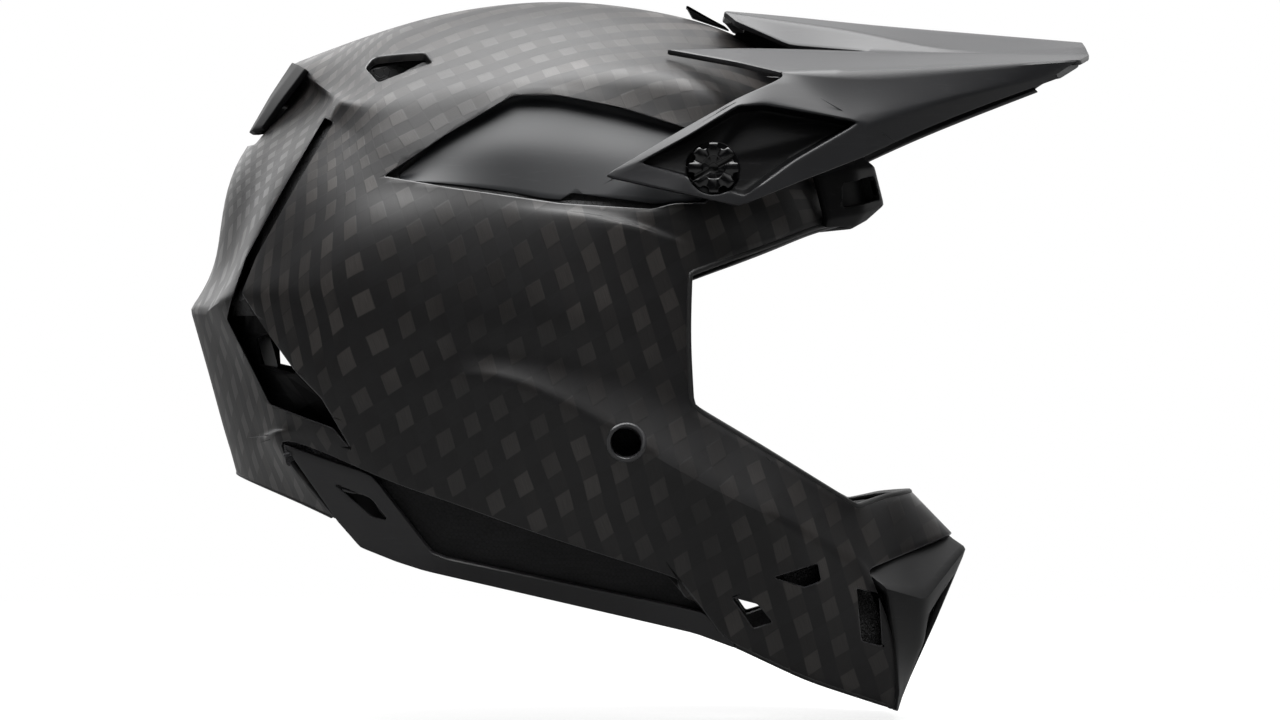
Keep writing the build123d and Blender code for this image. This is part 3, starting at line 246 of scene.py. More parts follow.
def towWeave(place, source):
    # spread tow cloth: wide flat tows laid over and under each other
    wobble = place.noise(22.0, 1.0, 0.5, "Color").vector("SUBTRACT", (0.5, 0.5, 0.5))
    x, y, z = place.vector("ADD", wobble.vector("MULTIPLY", (weave["wander"],) * 3)).axes()
    side = y.math("ABSOLUTE")
    # the cloth is unrolled over the crown and round the back
    rise = (weave["crownHalf"] - side) * weave["crownWrap"]
    up = rise.math("MULTIPLY_ADD", z.smooth(weave["crownFrom"], weave["crownTo"]), z)
    turn = (weave["backHalf"] - side) * weave["backWrap"]
    forward = x - turn * x.smooth(weave["backFrom"], weave["backTo"])
    (alongX, alongZ), (acrossX, acrossZ) = weave["along"], weave["across"]
    area = alongX * acrossZ - acrossX * alongZ
    s = forward.math("MULTIPLY_ADD", acrossZ / area, up * (-acrossX / area))
    t = forward.math("MULTIPLY_ADD", -alongZ / area, up * (alongX / area))

    def tow(value):
        part = value.math("FRACT")
        return part.smooth(0.0, weave["edge"]) - part.smooth(0.5, 0.5 + weave["edge"])

    inS, inT = tow(s), tow(t)
    light = inS * inT
    middle = (1.0 - inS) * (1.0 - inT)
    # where the tows of one direction catch the light, the cells run together into bands
    drift = (place.noise(14.0, 1.0) - 0.5) * weave["drift"]
    front = (x + drift).smooth(*weave["frontBand"])
    bandS = (inS - light) * front.larger((drift - x).smooth(*weave["backBand"]))
    bandT = (inT - light) * (z + drift).smooth(*weave["crownBand"])
    cells = s.into("CombineXYZ", {0: s.math("FLOOR"), 1: t.math("FLOOR")})
    chance = cells.into("TexWhiteNoise", {"Vector": cells}, "Value", noise_dimensions="3D")
    patches = place.noise(9.0, 2.0).smooth(0.35, 0.62, 0.35, 1.0)
    strength = chance.smooth(0.0, 1.0, 0.55, 1.0) * patches
    flat = s.into("CombineXYZ", {0: s, 1: t})
    fibres = [flat.vector("MULTIPLY", way).noise(2.0, 2.0) for way in ((1.0, 60.0, 1.0), (60.0, 1.0, 1.0))]
    fibre = inS.mix(*fibres)
    base = (middle * 0.8).mixColor(source["Dark"], source["Middle"])
    shown = light.larger(bandS.larger(bandT))
    lit = (shown * strength).mixColor(base, source["Light"])
    height = fibre.math("MULTIPLY_ADD", 0.12, light + middle * 0.5)
    return lit.scaled(fibre.smooth(0.3, 0.7, 0.75, 1.2)), light.mix(source["Gloss High"], source["Gloss Low"]), height


def mouldedGrain(place, source):
    # fine moulded texture with faint handling marks
    broad = place.noise(18.0)
    dust = place.vector("MULTIPLY", (1.0, 1.0, 9.0)).noise(70.0, 4.0, 0.7).smooth(0.55, 0.8)
    tone = source["Tone"].scaled(broad.smooth(0.3, 0.7, 0.88, 1.12))
    rough = source["Rough"] + (broad - 0.5) * source["Spread"]
    color = (dust * 0.12).mixColor(tone, (0.12, 0.12, 0.125, 1))
    return color, dust.math("MULTIPLY_ADD", 0.06, rough), place.noise(source["Grain Size"], 2.0, 0.5)


def clothThreads(place, source):
    # knitted or woven cloth: threads that cross on every side
    x, y, z = [(axis * source["Threads"] * (2 * math.pi)).math("SINE") for axis in place.axes()]
    height = ((x + y) * (z + y)).smooth(-1.2, 1.2)
    shade = place.noise(45.0).smooth(0.3, 0.7, 0.8, 1.15)
    return height.mixColor(source["Tone"], source["Thread Tone"]).scaled(shade), source["Rough"], height


def foamBeads(place, source):
    # foam moulded from beads, or open porous foam with a larger contrast
    cells = {"Vector": place, "Scale": source["Beads"]}
    edge = place.into("TexVoronoi", cells, "Distance", feature="DISTANCE_TO_EDGE")
    body = edge.smooth(0.0, source["Gap"])
    return body.mixColor(source["Pore Tone"], source["Tone"]), source["Rough"], body


def workedMetal(place, source):
    # turned or stamped metal with fine scratches
    lines = place.vector("MULTIPLY", (40.0, 1.0, 40.0)).noise(60.0)
    shade = lines.smooth(0.3, 0.7, 0.85, 1.1)
    return source["Tone"].scaled(shade), lines.math("MULTIPLY_ADD", 0.15, source["Rough"]), lines


def makeGroup(name, build, inputs):
    group = bpy.data.node_groups.new(name, "ShaderNodeTree")
    for title, value in inputs.items():
        single = isinstance(value, float)
        kind = "NodeSocketFloat" if single else "NodeSocketColor"
        socket = group.interface.new_socket(name=title, in_out="INPUT", socket_type=kind)
        socket.default_value = value if single else (*value, 1)
    for title, kind in (("Color", "Color"), ("Roughness", "Float"), ("Height", "Float")):
        group.interface.new_socket(name=title, in_out="OUTPUT", socket_type="NodeSocket" + kind)
    results = build(signals(group, "ShaderNodeTexCoord")["Object"], signals(group, "NodeGroupInput"))
    for socket, value in zip(group.nodes.new("NodeGroupOutput").inputs, results):
        feed(group, socket, value)
    return group


groups = {
    "weave": makeGroup("spreadTowWeave", towWeave, {
        "Dark": (0.01, 0.01, 0.011), "Middle": (0.02, 0.02, 0.022), "Light": (0.06, 0.06, 0.064), "Gloss Low": 0.3,
        "Gloss High": 0.42}),
    "grain": makeGroup("mouldedGrain", mouldedGrain, {
        "Tone": (0.02, 0.02, 0.022), "Grain Size": 1400.0, "Rough": 0.45, "Spread": 0.1}),
    "cloth": makeGroup("clothThreads", clothThreads, {
        "Tone": (0.03, 0.03, 0.032), "Thread Tone": (0.06, 0.06, 0.062), "Threads": 900.0, "Rough": 0.85}),
    "beads": makeGroup("foamBeads", foamBeads, {
        "Tone": (0.03, 0.03, 0.032), "Pore Tone": (0.008, 0.008, 0.009), "Beads": 330.0, "Rough": 0.7, "Gap": 0.06}),
    "metal": makeGroup("workedMetal", workedMetal, {"Tone": (0.5, 0.5, 0.52), "Rough": 0.3}),
}


def makeMaterial(name, kind, values, bump=0.1, bumpSize=0.0002, metallic=0.0, specular=0.5, sheen=0.0):
    material, tree, shader = newMaterial(name, {
        "Metallic": metallic, "Specular IOR Level": specular, "Sheen Weight": sheen})
    look = addNode(tree, "Group", node_tree=groups[kind])
    for key, value in values.items():
        look.inputs[key].default_value = value if isinstance(value, float) else (*value, 1)
    relief = addNode(tree, "Bump", {"Strength": bump, "Distance": bumpSize})
    for source, target in ((look.outputs["Color"], shader.inputs["Base Color"]),
                           (look.outputs["Roughness"], shader.inputs["Roughness"]),
                           (look.outputs["Height"], relief.inputs["Height"]),
                           (relief.outputs["Normal"], shader.inputs["Normal"])):
        tree.links.new(source, target)
    return material


def plastic(name, tone, rough, bump=0.12, specular=0.5):
    return makeMaterial(name, "grain", {"Tone": tone, "Rough": rough}, bump, specular=specular)


def cloth(name, tone, threadTone, threads, bump, bumpSize=0.0004, rough=0.75, sheen=0.0):
    values = {"Tone": tone, "Thread Tone": threadTone, "Threads": threads, "Rough": rough}
    return makeMaterial(name, "cloth", values, bump, bumpSize, sheen=sheen)


carbon = makeMaterial("carbonWeave", "weave", {
    "Dark": (0.0048, 0.0045, 0.005), "Middle": (0.0085, 0.0082, 0.0088), "Light": (0.058, 0.053, 0.05),
    "Gloss Low": 0.36, "Gloss High": 0.43}, 0.12, 0.0003, specular=0.42)
# a lighter, glossier carbon for cut edges and port lips: painted highlight on edges that catch the light
carbonEdge = plastic("carbonEdge", (0.04, 0.04, 0.042), 0.3, 0.04, 0.6)
visorPlastic = plastic("visorPlastic", (0.016, 0.0162, 0.018), 0.4, 0.08)
panelPlastic = plastic("panelPlastic", (0.012, 0.013, 0.015), 0.45, 0.06)
trimPlastic = plastic("trimPlastic", (0.0035, 0.0035, 0.004), 0.44, specular=0.35)
# near-black plastic as painted shade: the visor's pocket, the rear gaps, and the webs and ribs under the visor roof
pocketPlastic = plastic("pocketPlastic", (0.002, 0.002, 0.0024), 0.5, specular=0.12)
finPlastic = plastic("finPlastic", (0.004, 0.004, 0.0045), 0.55, specular=0.15)
skirtPlastic = plastic("skirtPlastic", (0.017, 0.0165, 0.018), 0.4, 0.08)
knobPlastic = makeMaterial("knobPlastic", "grain", {"Tone": (0.002, 0.002, 0.0024), "Rough": 0.14, "Spread": 0.04},
                           0.03, specular=0.6)
beadRubber = makeMaterial("beadRubber", "grain", {"Tone": (0.012, 0.012, 0.012), "Rough": 0.5, "Grain Size": 900.0},
                          0.2)
linerFoam = makeMaterial("linerFoam", "beads", {
    "Tone": (0.02, 0.02, 0.021), "Pore Tone": (0.006, 0.006, 0.006), "Beads": 300.0}, 0.5, 0.0005)
filterFoam = makeMaterial("filterFoam", "beads", {
    "Tone": (0.02, 0.02, 0.021), "Pore Tone": (0.001, 0.001, 0.001), "Beads": 520.0, "Gap": 0.35, "Rough": 0.9},
    1.0, 0.0012)
padCloth = cloth("padCloth", (0.018, 0.018, 0.02), (0.045, 0.045, 0.05), 600.0, 0.4, 0.0003, 0.85, 0.2)
skirtCloth = cloth("skirtCloth", (0.006, 0.006, 0.0065), (0.013, 0.013, 0.014), 500.0, 0.5, 0.0003, 0.85)
webbing = cloth("strapWebbing", (0.008, 0.008, 0.009), (0.03, 0.03, 0.032), 420.0, 0.6)
tabCloth = cloth("tabCloth", (0.3, 0.012, 0.01), (0.5, 0.03, 0.02), 420.0, 0.6)
brass = makeMaterial("insertBrass", "metal", {"Tone": (0.6, 0.42, 0.18), "Rough": 0.3}, metallic=1.0)
steel = makeMaterial("screwSteel", "metal", {"Tone": (0.42, 0.42, 0.44), "Rough": 0.28}, metallic=1.0)
print("materials ready:", len(bpy.data.materials))


# ---- mesh helpers
def applied(obj, *modifiers):
    # the object's mesh becomes what its modifiers make of it
    for kind, settings in modifiers:
        made = obj.modifiers.new(kind.lower(), kind)
        for key, value in settings.items():
            setattr(made, key, value)
    graph = bpy.context.evaluated_depsgraph_get()
    graph.update()
    mesh = bpy.data.meshes.new_from_object(obj.evaluated_get(graph))
    old = obj.data
    obj.modifiers.clear()
    obj.data = mesh
    bpy.data.meshes.remove(old)
    return obj


def discard(*objs):
    for obj in objs:
        mesh = obj.data
        bpy.data.objects.remove(obj)
        bpy.data.meshes.remove(mesh)


def reworked(name, meshes, change=None):
    # a new object from the given meshes, changed as one
    bm = bmesh.new()
    for mesh in meshes:
        bm.from_mesh(mesh)
    if change:
        change(bm)
    made = bpy.data.meshes.new(name)
    bm.to_mesh(made)
    bm.free()
    return toObject(name, made)


def joined(name, objs):
    # the parts go before the new object takes their name
    meshes = [obj.data for obj in objs]
    made = reworked("joining", meshes)
    discard(*objs)
    made.name = made.data.name = name
    return made


def mirroredCopy(obj, name):
    def mirror(bm):
        for vert in bm.verts:
            vert.co.y = -vert.co.y
        bmesh.ops.reverse_faces(bm, faces=bm.faces)

    return reworked(name, [obj.data], mirror)


def closedForm(name, points, faces):
    obj = fromLists(name, points, faces)
    bm = bmesh.new()
    bm.from_mesh(obj.data)
    bmesh.ops.recalc_face_normals(bm, faces=bm.faces)
    bm.to_mesh(obj.data)
    bm.free()
    return obj


def cut(obj, *cutters):
    tool = joined("cutter", cutters) if len(cutters) > 1 else cutters[0]
    applied(obj, ("BOOLEAN", {"operation": "DIFFERENCE", "object": tool, "solver": "EXACT"}))
    discard(tool)


def softened(obj, width, angle=50, material=-1):
    bevel = {"width": width, "segments": 2, "limit_method": "ANGLE", "angle_limit": math.radians(angle),
             "use_clamp_overlap": False, "harden_normals": False, "miter_outer": "MITER_ARC", "material": material}
    applied(obj, ("WELD", {"merge_threshold": width * 0.4}), ("BEVEL", bevel))


def wall(obj, thickness):
    return applied(obj, ("SOLIDIFY", {"thickness": thickness, "offset": -1.0, "use_even_offset": False,
                                      "use_quality_normals": True, "use_rim": True}))


def dress(obj, material, node, angle=32, body="helmet"):
    obj.data.materials.clear()
    obj.data.materials.append(material)
    obj.data.shade_smooth()
    obj.data.set_sharp_from_angle(angle=math.radians(angle))
    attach(obj, body)
    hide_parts(node)


def extra(obj, material, body="helmet"):
    # a detail that the solid model doesn't have
    obj.data.materials.append(material)
    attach(obj, body)


def rowPoints(rows):
    return {(row, first + step): point for row, first, points in rows for step, point in enumerate(points)}


def cell(row, column, below=None):
    below = row + 1 if below is None else below
    return [(row, column), (row, column + 1), (below, column + 1), (below, column)]


def right(name, points):
    return name if points[name][1] < 1e-6 else (*name, "right")


def bothSides(points, faces, creases):
    whole = {}
    for name, (x, y, z) in points.items():
        whole[name] = Vector((x, y, z)) * headUnit
        whole[right(name, points)] = Vector((x, -y, z)) * headUnit
    mirrored = [[right(name, points) for name in reversed(face)] for face in faces]
    edges = {frozenset(right(name, points) for name in pair): value for pair, value in creases.items()}
    return whole, faces + mirrored, {**creases, **edges}


def oneSide(points):
    return {name: Vector(point) * headUnit for name, point in points.items()}


cage = {"levels": 3, "rounds": 6, "gain": 1.35}


def smoothCage(name, points, faces, creases, base=0.0, corner=0.0, tips=None):
    # a subdivision surface that passes through the named points
    order = list(dict.fromkeys(item for face in faces for item in face))
    index = {item: n for n, item in enumerate(order)}
    obj = fromLists(name, [points[item] for item in order], [[index[item] for item in face] for face in faces])
    mesh = obj.data
    sharp = mesh.attributes.new("crease_edge", "FLOAT", "EDGE")
    for edge in mesh.edges:
        sharp.data[edge.index].value = creases.get(frozenset(order[n] for n in edge.vertices), base)
    if corner or tips:
        tip = mesh.attributes.new("crease_vert", "FLOAT", "POINT")
        uses = [item for face in faces for item in face]
        for n, item in enumerate(order):
            tip.data[n].value = (tips or {}).get(item, corner if uses.count(item) == 1 else 0.0)
    divide = obj.modifiers.new("divide", "SUBSURF")
    divide.levels = divide.render_levels = cage["levels"]
    graph = bpy.context.evaluated_depsgraph_get()
    for turn in range(cage["rounds"]):
        graph.update()
        seen = obj.evaluated_get(graph)
        made = seen.to_mesh()
        moved = [made.vertices[n].co.copy() for n in range(len(order))]
        seen.to_mesh_clear()
        for n, item in enumerate(order):
            mesh.vertices[n].co += (points[item] - moved[n]) * cage["gain"]
        mesh.update()
        obj.update_tag()
    return applied(obj)


def rounded(outline, radius, steps=4):
    # a flat outline with its corners rounded, none by more than its sides allow
    if radius <= 0:
        return outline
    result = []
    for n, here in enumerate(map(Vector, outline)):
        toBack = Vector(outline[n - 1]) - here
        toFront = Vector(outline[(n + 1) % len(outline)]) - here
        reach = min(radius, toBack.length * 0.45, toFront.length * 0.45)
        start, end = here + toBack.normalized() * reach, here + toFront.normalized() * reach
        for k in range(steps + 1):
            s = k / steps
            result.append(start * (1 - s) ** 2 + here * 2 * s * (1 - s) + end * s * s)
    return result


def prism(name, outline, place, start, end):
    # a closed bar over a flat outline; place(a, b, depth) gives its points
    count = len(outline)
    points = [place(a, b, depth) for depth in (start, end) for a, b in outline]
    faces = [list(range(count))[::-1], list(range(count, 2 * count))]
    faces += [[n, (n + 1) % count, count + (n + 1) % count, count + n] for n in range(count)]
    return closedForm(name, points, faces)


def sideBar(outline, side=1, start=0.3, end=2.0, radius=0.02, name="bar"):
    return prism(name, rounded(outline, radius), lambda a, b, d: Vector((a, side * d, b)) * headUnit, start, end)


def foreBar(outline, start, end, side=1):
    return prism("bar", rounded(outline, 0.02), lambda a, b, d: Vector((d, side * a, b)) * headUnit, start, end)


def topBar(outline, start, end, side):
    return prism("bar", rounded(outline, 0.02), lambda a, b, d: Vector((a, side * b, d)) * headUnit, start, end)


def circle(radius, count, middle=(0.0, 0.0)):
    angles = [2 * math.pi * n / count for n in range(count)]
    return [(middle[0] + radius * math.cos(a), middle[1] + radius * math.sin(a)) for a in angles]


def sweep(name, rings, closed=False):
    # rings of points joined in order
    count = len(rings[0])
    faces = []
    for step in range(len(rings) if closed else len(rings) - 1):
        here, after = step * count, (step + 1) % len(rings) * count
        faces += [[here + n, here + (n + 1) % count, after + (n + 1) % count, after + n] for n in range(count)]
    if not closed:
        faces += [list(range(count))[::-1], [(len(rings) - 1) * count + n for n in range(count)]]
    return closedForm(name, [p for ring in rings for p in ring], faces)


def along(name, frames, section, size=1.0, closed=True):
    # a flat section carried through frames: (place, first direction across, second one)
    rings = [[here + (first * a + second * b) * size for a, b in section] for here, first, second in frames]
    return sweep(name, rings, closed)


def headings(line):
    # the directions along a closed line
    return [(line[(n + 1) % len(line)] - line[n - 1]).normalized() for n in range(len(line))]


def turned(name, profile, frameAt, count=48):
    # a lathe form; profile holds (radius, height) pairs
    return sweep(name, [[frameAt(r * a, r * b, h) for r, h in profile] for a, b in circle(1.0, count)], True)


def blockSection(wide, high, steps=12):
    # a rounded block's outline
    return [(math.copysign(abs(a) ** 0.7, a) * wide, math.copysign(abs(b) ** 0.7, b) * high)
            for a, b in circle(1.0, steps)]


def gridFaces(rows, columns):
    # the cells between points that are listed row by row
    return [[row * columns + n, (row + 1) * columns + n, (row + 1) * columns + n + 1, row * columns + n + 1]
            for row in range(rows - 1) for n in range(columns - 1)]


def curveAt(points, n, f):
    # a smooth line through the points, at share f of span n
    a = points[n - 1] if n else points[0] * 2 - points[1]
    b, c = points[n], points[n + 1]
    d = points[n + 2] if n + 2 < len(points) else points[-1] * 2 - points[-2]
    return 0.5 * (2 * b + (c - a) * f + (2 * a - 5 * b + 4 * c - d) * f * f + (3 * b - a - 3 * c + d) * f ** 3)


def alongCurve(points, s):
    n = min(int(s * (len(points) - 1)), len(points) - 2)
    return curveAt(points, n, s * (len(points) - 1) - n)


# ---- outlines in head units: (forward, left, up), or seen from the side (forward, up)
crest, midTop, shoulder, rimRow, belt, ridge, portTop, portMid, portLow, jaw, lowJaw, base, tail = range(13)
lastColumn = 11
shellRows = [
    (crest, 2, [(-1.11, 0, 0.965), (-0.86, 0, 1.06), (-0.55, 0, 1.16), (-0.24, 0, 1.22), (0.07, 0, 1.24),
        (0.385, 0, 1.215), (0.695, 0, 1.15), (0.925, 0, 1.055), (1.115, 0, 0.9), (1.255, 0, 0.68)]),
    (midTop, 2, [(-0.985, 0.36, 0.86), (-0.775, 0.44, 0.935), (-0.485, 0.49, 1), (-0.205, 0.52, 1.045),
        (0.08, 0.53, 1.065), (0.375, 0.52, 1.045), (0.655, 0.47, 0.995), (0.9, 0.37, 0.9), (1.095, 0.24, 0.76),
        (1.28, 0, 0.58)]),
    (shoulder, 2, [(-0.855, 0.7, 0.765), (-0.64, 0.78, 0.775), (-0.395, 0.83, 0.81), (-0.14, 0.86, 0.85),
        (0.13, 0.87, 0.875), (0.4, 0.85, 0.875), (0.665, 0.79, 0.835), (0.895, 0.66, 0.72),
        (1.11, 0.43, 0.585), (1.3, 0, 0.51)]),
    (rimRow, 0, [(-1.13, 0, 0.84), (-1.015, 0.36, 0.755), (-0.905, 0.69, 0.68), (-0.705, 0.88, 0.585),
        (-0.395, 0.96, 0.615), (-0.115, 0.94, 0.775), (0.15, 0.95, 0.77), (0.43, 0.93, 0.71),
        (0.685, 0.88, 0.625), (0.935, 0.74, 0.545), (1.14, 0.48, 0.47), (1.31, 0, 0.45)]),
    (belt, 0, [(-1.37, 0, 0.505), (-1.225, 0.42, 0.47), (-1.07, 0.79, 0.39), (-0.75, 0.98, 0.375),
        (-0.425, 1.07, 0.38), (-0.125, 1.13, 0.34), (0.15, 1.15, 0.3), (0.43, 1.13, 0.275),
        (0.675, 1.05, 0.31), (0.95, 0.86, 0.335), (1.175, 0.52, 0.355), (1.325, 0, 0.35)]),
    (ridge, 0, [(-1.455, 0, 0.115), (-1.35, 0.4, 0.095), (-1.235, 0.78, 0.09), (-0.815, 1.06, 0.18),
        (-0.455, 1.14, 0.21), (-0.1, 1.18, 0.215), (0.25, 1.19, 0.225), (0.565, 1.12, 0.16),
        (0.835, 0.96, 0.095), (1.04, 0.76, 0.17), (1.22, 0.48, 0.24), (1.345, 0, 0.27)]),
    (portTop, 0, [(-1.565, 0, -0.125), (-1.47, 0.38, -0.14), (-1.3, 0.8, -0.085), (-0.88, 1.09, -0.055),
        (-0.505, 1.18, -0.035), (-0.12, 1.22, -0.015), (0.26, 1.21, 0), (0.64, 1.09, 0.02)]),
    (portMid, 0, [(-1.515, 0, -0.315), (-1.38, 0.46, -0.315), (-1.195, 0.86, -0.29), (-0.88, 1.09, -0.255),
        (-0.505, 1.19, -0.215), (-0.115, 1.23, -0.205), (0.265, 1.22, -0.225), (0.63, 1.1, -0.265)]),
    (portLow, 0, [(-1.47, 0, -0.475), (-1.305, 0.52, -0.475), (-1.09, 0.91, -0.46), (-0.855, 1.09, -0.42),
        (-0.48, 1.18, -0.33), (-0.13, 1.212, -0.33), (0.27, 1.19, -0.4), (0.655, 1.085, -0.55),
        (1.02, 0.89, -0.775), (1.37, 0.57, -0.99), (1.51, 0.3, -0.955), (1.635, 0, -0.935)]),
    (jaw, 0, [(-1.43, 0, -0.62), (-1.25, 0.56, -0.605), (-1.065, 0.9, -0.585), (-0.805, 1.08, -0.57),
        (-0.445, 1.18, -0.47), (-0.13, 1.24, -0.44), (0.285, 1.238, -0.635), (0.64, 1.2, -0.845),
        (1.045, 1.02, -1.05), (1.425, 0.595, -1.265), (1.625, 0.29, -1.19), (1.815, 0, -1.12)]),
    (lowJaw, 0, [(-1.405, 0, -0.71), (-1.23, 0.56, -0.68), (-1.075, 0.88, -0.65), (-0.765, 1.07, -0.71),
        (-0.42, 1.14, -0.71), (-0.08, 1.18, -0.785), (0.32, 1.16, -0.93), (0.7, 1.06, -1.175),
        (1.095, 0.88, -1.395), (1.53, 0.5, -1.57)]),
    (base, 0, [(-1.39, 0, -0.76), (-1.215, 0.56, -0.75), (-1.11, 0.84, -0.705), (-0.72, 1.04, -0.835),
        (-0.4, 1.1, -0.95), (0.025, 1.12, -1.1), (0.59, 1.06, -1.285), (0.795, 0.98, -1.545),
        (1.145, 0.78, -1.72), (1.54, 0.42, -1.87)]),
    (tail, 0, [(-1.365, 0, -0.85), (-1.11, 0.6, -0.94), (-0.875, 0.88, -1.035)]),
]
pivot = (0.74, 0.465)
rearGap = [(-0.94, 0.7), (-0.895, 0.675), (-1.225, 0.09), (-1.285, -0.065), (-1.16, -0.245), (-1.045, -0.4),
           (-0.93, -0.515), (-0.8, -0.735), (-0.88, -0.64), (-1.17, -0.54), (-1.36, -0.175), (-1.275, 0.085)]
panelOpening = [(-0.67, 0.43), (-0.395, 0.615), (-0.115, 0.78), (0.075, 0.78), (0.34, 0.73), (0.6, 0.65),
                (0.77, 0.595), (0.725, 0.32), (0.57, 0.315), (0.48, 0.29), (0.09, 0.315), (-0.425, 0.39)]
chinVents = [
    [(1, -1.28), (1.19, -1.225), (1.205, -1.3), (1.135, -1.325)],
    [(0.82, -1.365), (0.93, -1.395), (0.995, -1.475), (0.915, -1.5)],
    [(1.365, -1.34), (1.465, -1.37), (1.48, -1.595), (1.39, -1.57)],
]
topVent = [(-0.77, 0.46), (-0.735, 0.4), (-0.51, 0.5), (-0.47, 0.6), (-0.705, 0.625)]
browIntake = [(0.07, 0.335), (0.32, 0.335), (0.28, 0.42), (0.07, 0.44)]
exhaust = [(-0.17, 0.6), (0.17, 0.6), (0.2, 0.77), (-0.2, 0.77)]
shellSettings = {"wall": 0.003, "edge": 0.0005, "earRadius": 0.11, "earFrom": 74, "earTo": 268, "earSteps": 13,
                 "smoothAngle": 34, "portMiddle": (0.37, -0.7), "portRadius": 0.066}


# ---- carbon shell
def shellFaces():
    # the cells of each row, from the first column to the last
    spans = {crest: (2, lastColumn), midTop: (2, lastColumn), shoulder: (2, lastColumn), rimRow: (0, lastColumn),
             belt: (0, lastColumn), ridge: (0, 7), portTop: (0, 7), portMid: (0, 7), portLow: (0, lastColumn),
             jaw: (0, 9), lowJaw: (0, 9), base: (0, 2)}
    faces = {row: [cell(row, column) for column in range(*span)] for row, span in spans.items()}
    # the rear corner of the crown and the corner of the eye port
    faces[midTop] += [[(crest, 2), (midTop, 2), (rimRow, 1), (rimRow, 0)],
                      [(midTop, 2), (shoulder, 2), (rimRow, 2), (rimRow, 1)]]
    faces[ridge].append([(ridge, 7), (ridge, 8), (portTop, 7)])
    return [face for row in faces.values() for face in row]


def creaseRow(row, first, last, value):
    return {frozenset([(row, column), (row, column + 1)]): value for column in range(first, last)}


def creaseColumn(column, rows, value):
    return {frozenset([(upper, column), (lower, column)]): value for upper, lower in zip(rows, rows[1:])}


shellCreases = {}
for row, first, last, value in ((jaw, 4, 5, 0.75), (jaw, 5, 9, 0.95), (jaw, 2, 4, 0.3), (ridge, 6, 8, 0.8),
                                (portTop, 0, 2, 0.75), (portTop, 2, 3, 0.4), (rimRow, 2, 5, 0.85),
                                (rimRow, 5, 10, 0.5), (belt, 3, 8, 0.45), (shoulder, 2, 9, 0.35)):
    shellCreases.update(creaseRow(row, first, last, value))
for column, rows, value in ((1, [portTop, portMid, portLow, jaw, lowJaw], 0.4),
                            (2, [crest, midTop, shoulder, rimRow], 0.95), (8, [portLow, jaw, lowJaw, base], 0.35)):
    shellCreases.update(creaseColumn(column, rows, value))
shellTips = {(portLow, 9): 0.85, (portLow, 10): 0.6, (ridge, 8): 0.8, (portTop, 7): 0.85, (portLow, 7): 0.5,
             (base, 7): 0.6, (base, 6): 0.6, (tail, 2): 0.7, (base, 9): 0.7, (shoulder, 2): 0.5}


def boundaryRings(obj):
    # ordered loops of open edges: (position, normal, direction out of the sheet)
    bm = bmesh.new()
    bm.from_mesh(obj.data)
    bm.normal_update()
    loose = dict.fromkeys(edge for edge in bm.edges if edge.is_boundary)
    rings = []
    while loose:
        start, here = loose.popitem()[0].verts
        ring = [start, here]
        while here != start:
            after = next((e for e in here.link_edges if e in loose), None)
            if after is None:
                break
            loose.pop(after)
            here = after.other_vert(here)
            if here != start:
                ring.append(here)
        frames = []
        for vert, way in zip(ring, headings([vert.co for vert in ring])):
            inner = sum((face.calc_center_median() for face in vert.link_faces), Vector()) / len(vert.link_faces)
            out = vert.co - inner
            out -= way * out.dot(way)
            out -= vert.normal * out.dot(vert.normal)
            frames.append((vert.co.copy(), vert.normal.copy(), out.normalized()))
        rings.append(frames)
    bm.free()
    return sorted(rings, key=len, reverse=True)


def earWindow():
    # the panel's opening with the ear for the visor screw left in
    first, last, steps, radius = (shellSettings[key] for key in ("earFrom", "earTo", "earSteps", "earRadius"))
    spread = [math.radians(first + (last - first) * n / steps) for n in range(steps + 1)]
    ear = [(pivot[0] + radius * math.cos(a), pivot[1] + radius * math.sin(a)) for a in spread]
    return [*rounded(panelOpening[:7], 0.02), *ear, *rounded(panelOpening[7:], 0.02)]


def addShell():
    points, faces, creases = bothSides(rowPoints(shellRows), shellFaces(), shellCreases)
    tips = {**shellTips, **{(*name, "right"): value for name, value in shellTips.items()}}
    shell = smoothCage("carbonShell", points, faces, creases, tips=tips)
    tree = BVHTree.FromObject(shell, bpy.context.evaluated_depsgraph_get())
    rings = boundaryRings(shell)
    wall(shell, shellSettings["wall"])
    cutters = []
    for side in (1, -1):
        cutters += [sideBar(rearGap, side, radius=0.012), sideBar(earWindow(), side, radius=0)]
        cutters += [sideBar(outline, side, radius=0.01) for outline in chinVents]
        cutters += [sideBar(circle(shellSettings["portRadius"], 40, shellSettings["portMiddle"]), side, radius=0),
                    foreBar(browIntake, 1.1, 2.0, side), topBar(topVent, 0.82, 2.0, side)]
    cut(shell, *cutters, foreBar(exhaust, -2.0, -1.0))
    # the bevels along every cut get a lighter, glossier material: a painted highlight where the edges catch the light
    for material in (carbon, carbonEdge):
        shell.data.materials.append(material)
    softened(shell, shellSettings["edge"], material=1)
    marks = [face.material_index for face in shell.data.polygons]
    dress(shell, carbon, "outer_shell", shellSettings["smoothAngle"])
    shell.data.materials.append(carbonEdge)
    shell.data.polygons.foreach_set("material_index", marks)
    return rings, tree


shellRings, shellTree = addShell()
print("shell ready:", [len(ring) for ring in shellRings])


def onShell(x, z, side, lift=0.0):
    # the shell's outer surface seen from the side, or the first of it above
    for rise in range(60):
        found, normal, _, _ = shellTree.ray_cast(Vector((x, side * 0.3, z + rise * 0.0005)), Vector((0, -side, 0)))
        if found:
            break
    return found + normal * lift


# ---- edge trims: soft beads that clip over the shell's edge
portBead = {"out": 0.0007, "skin": 0.0005, "reach": 0.0013}
hemBead = {"out": 0.0001, "skin": 0.0003, "reach": 0.0009}
# the hem's front stretches lie below a slanting line, the rear one behind the neck
hem = {"chinFrom": 0.0815, "chinTop": -0.1495, "slantFrom": 0.0795, "slant": 0.436, "neckTo": -0.089}


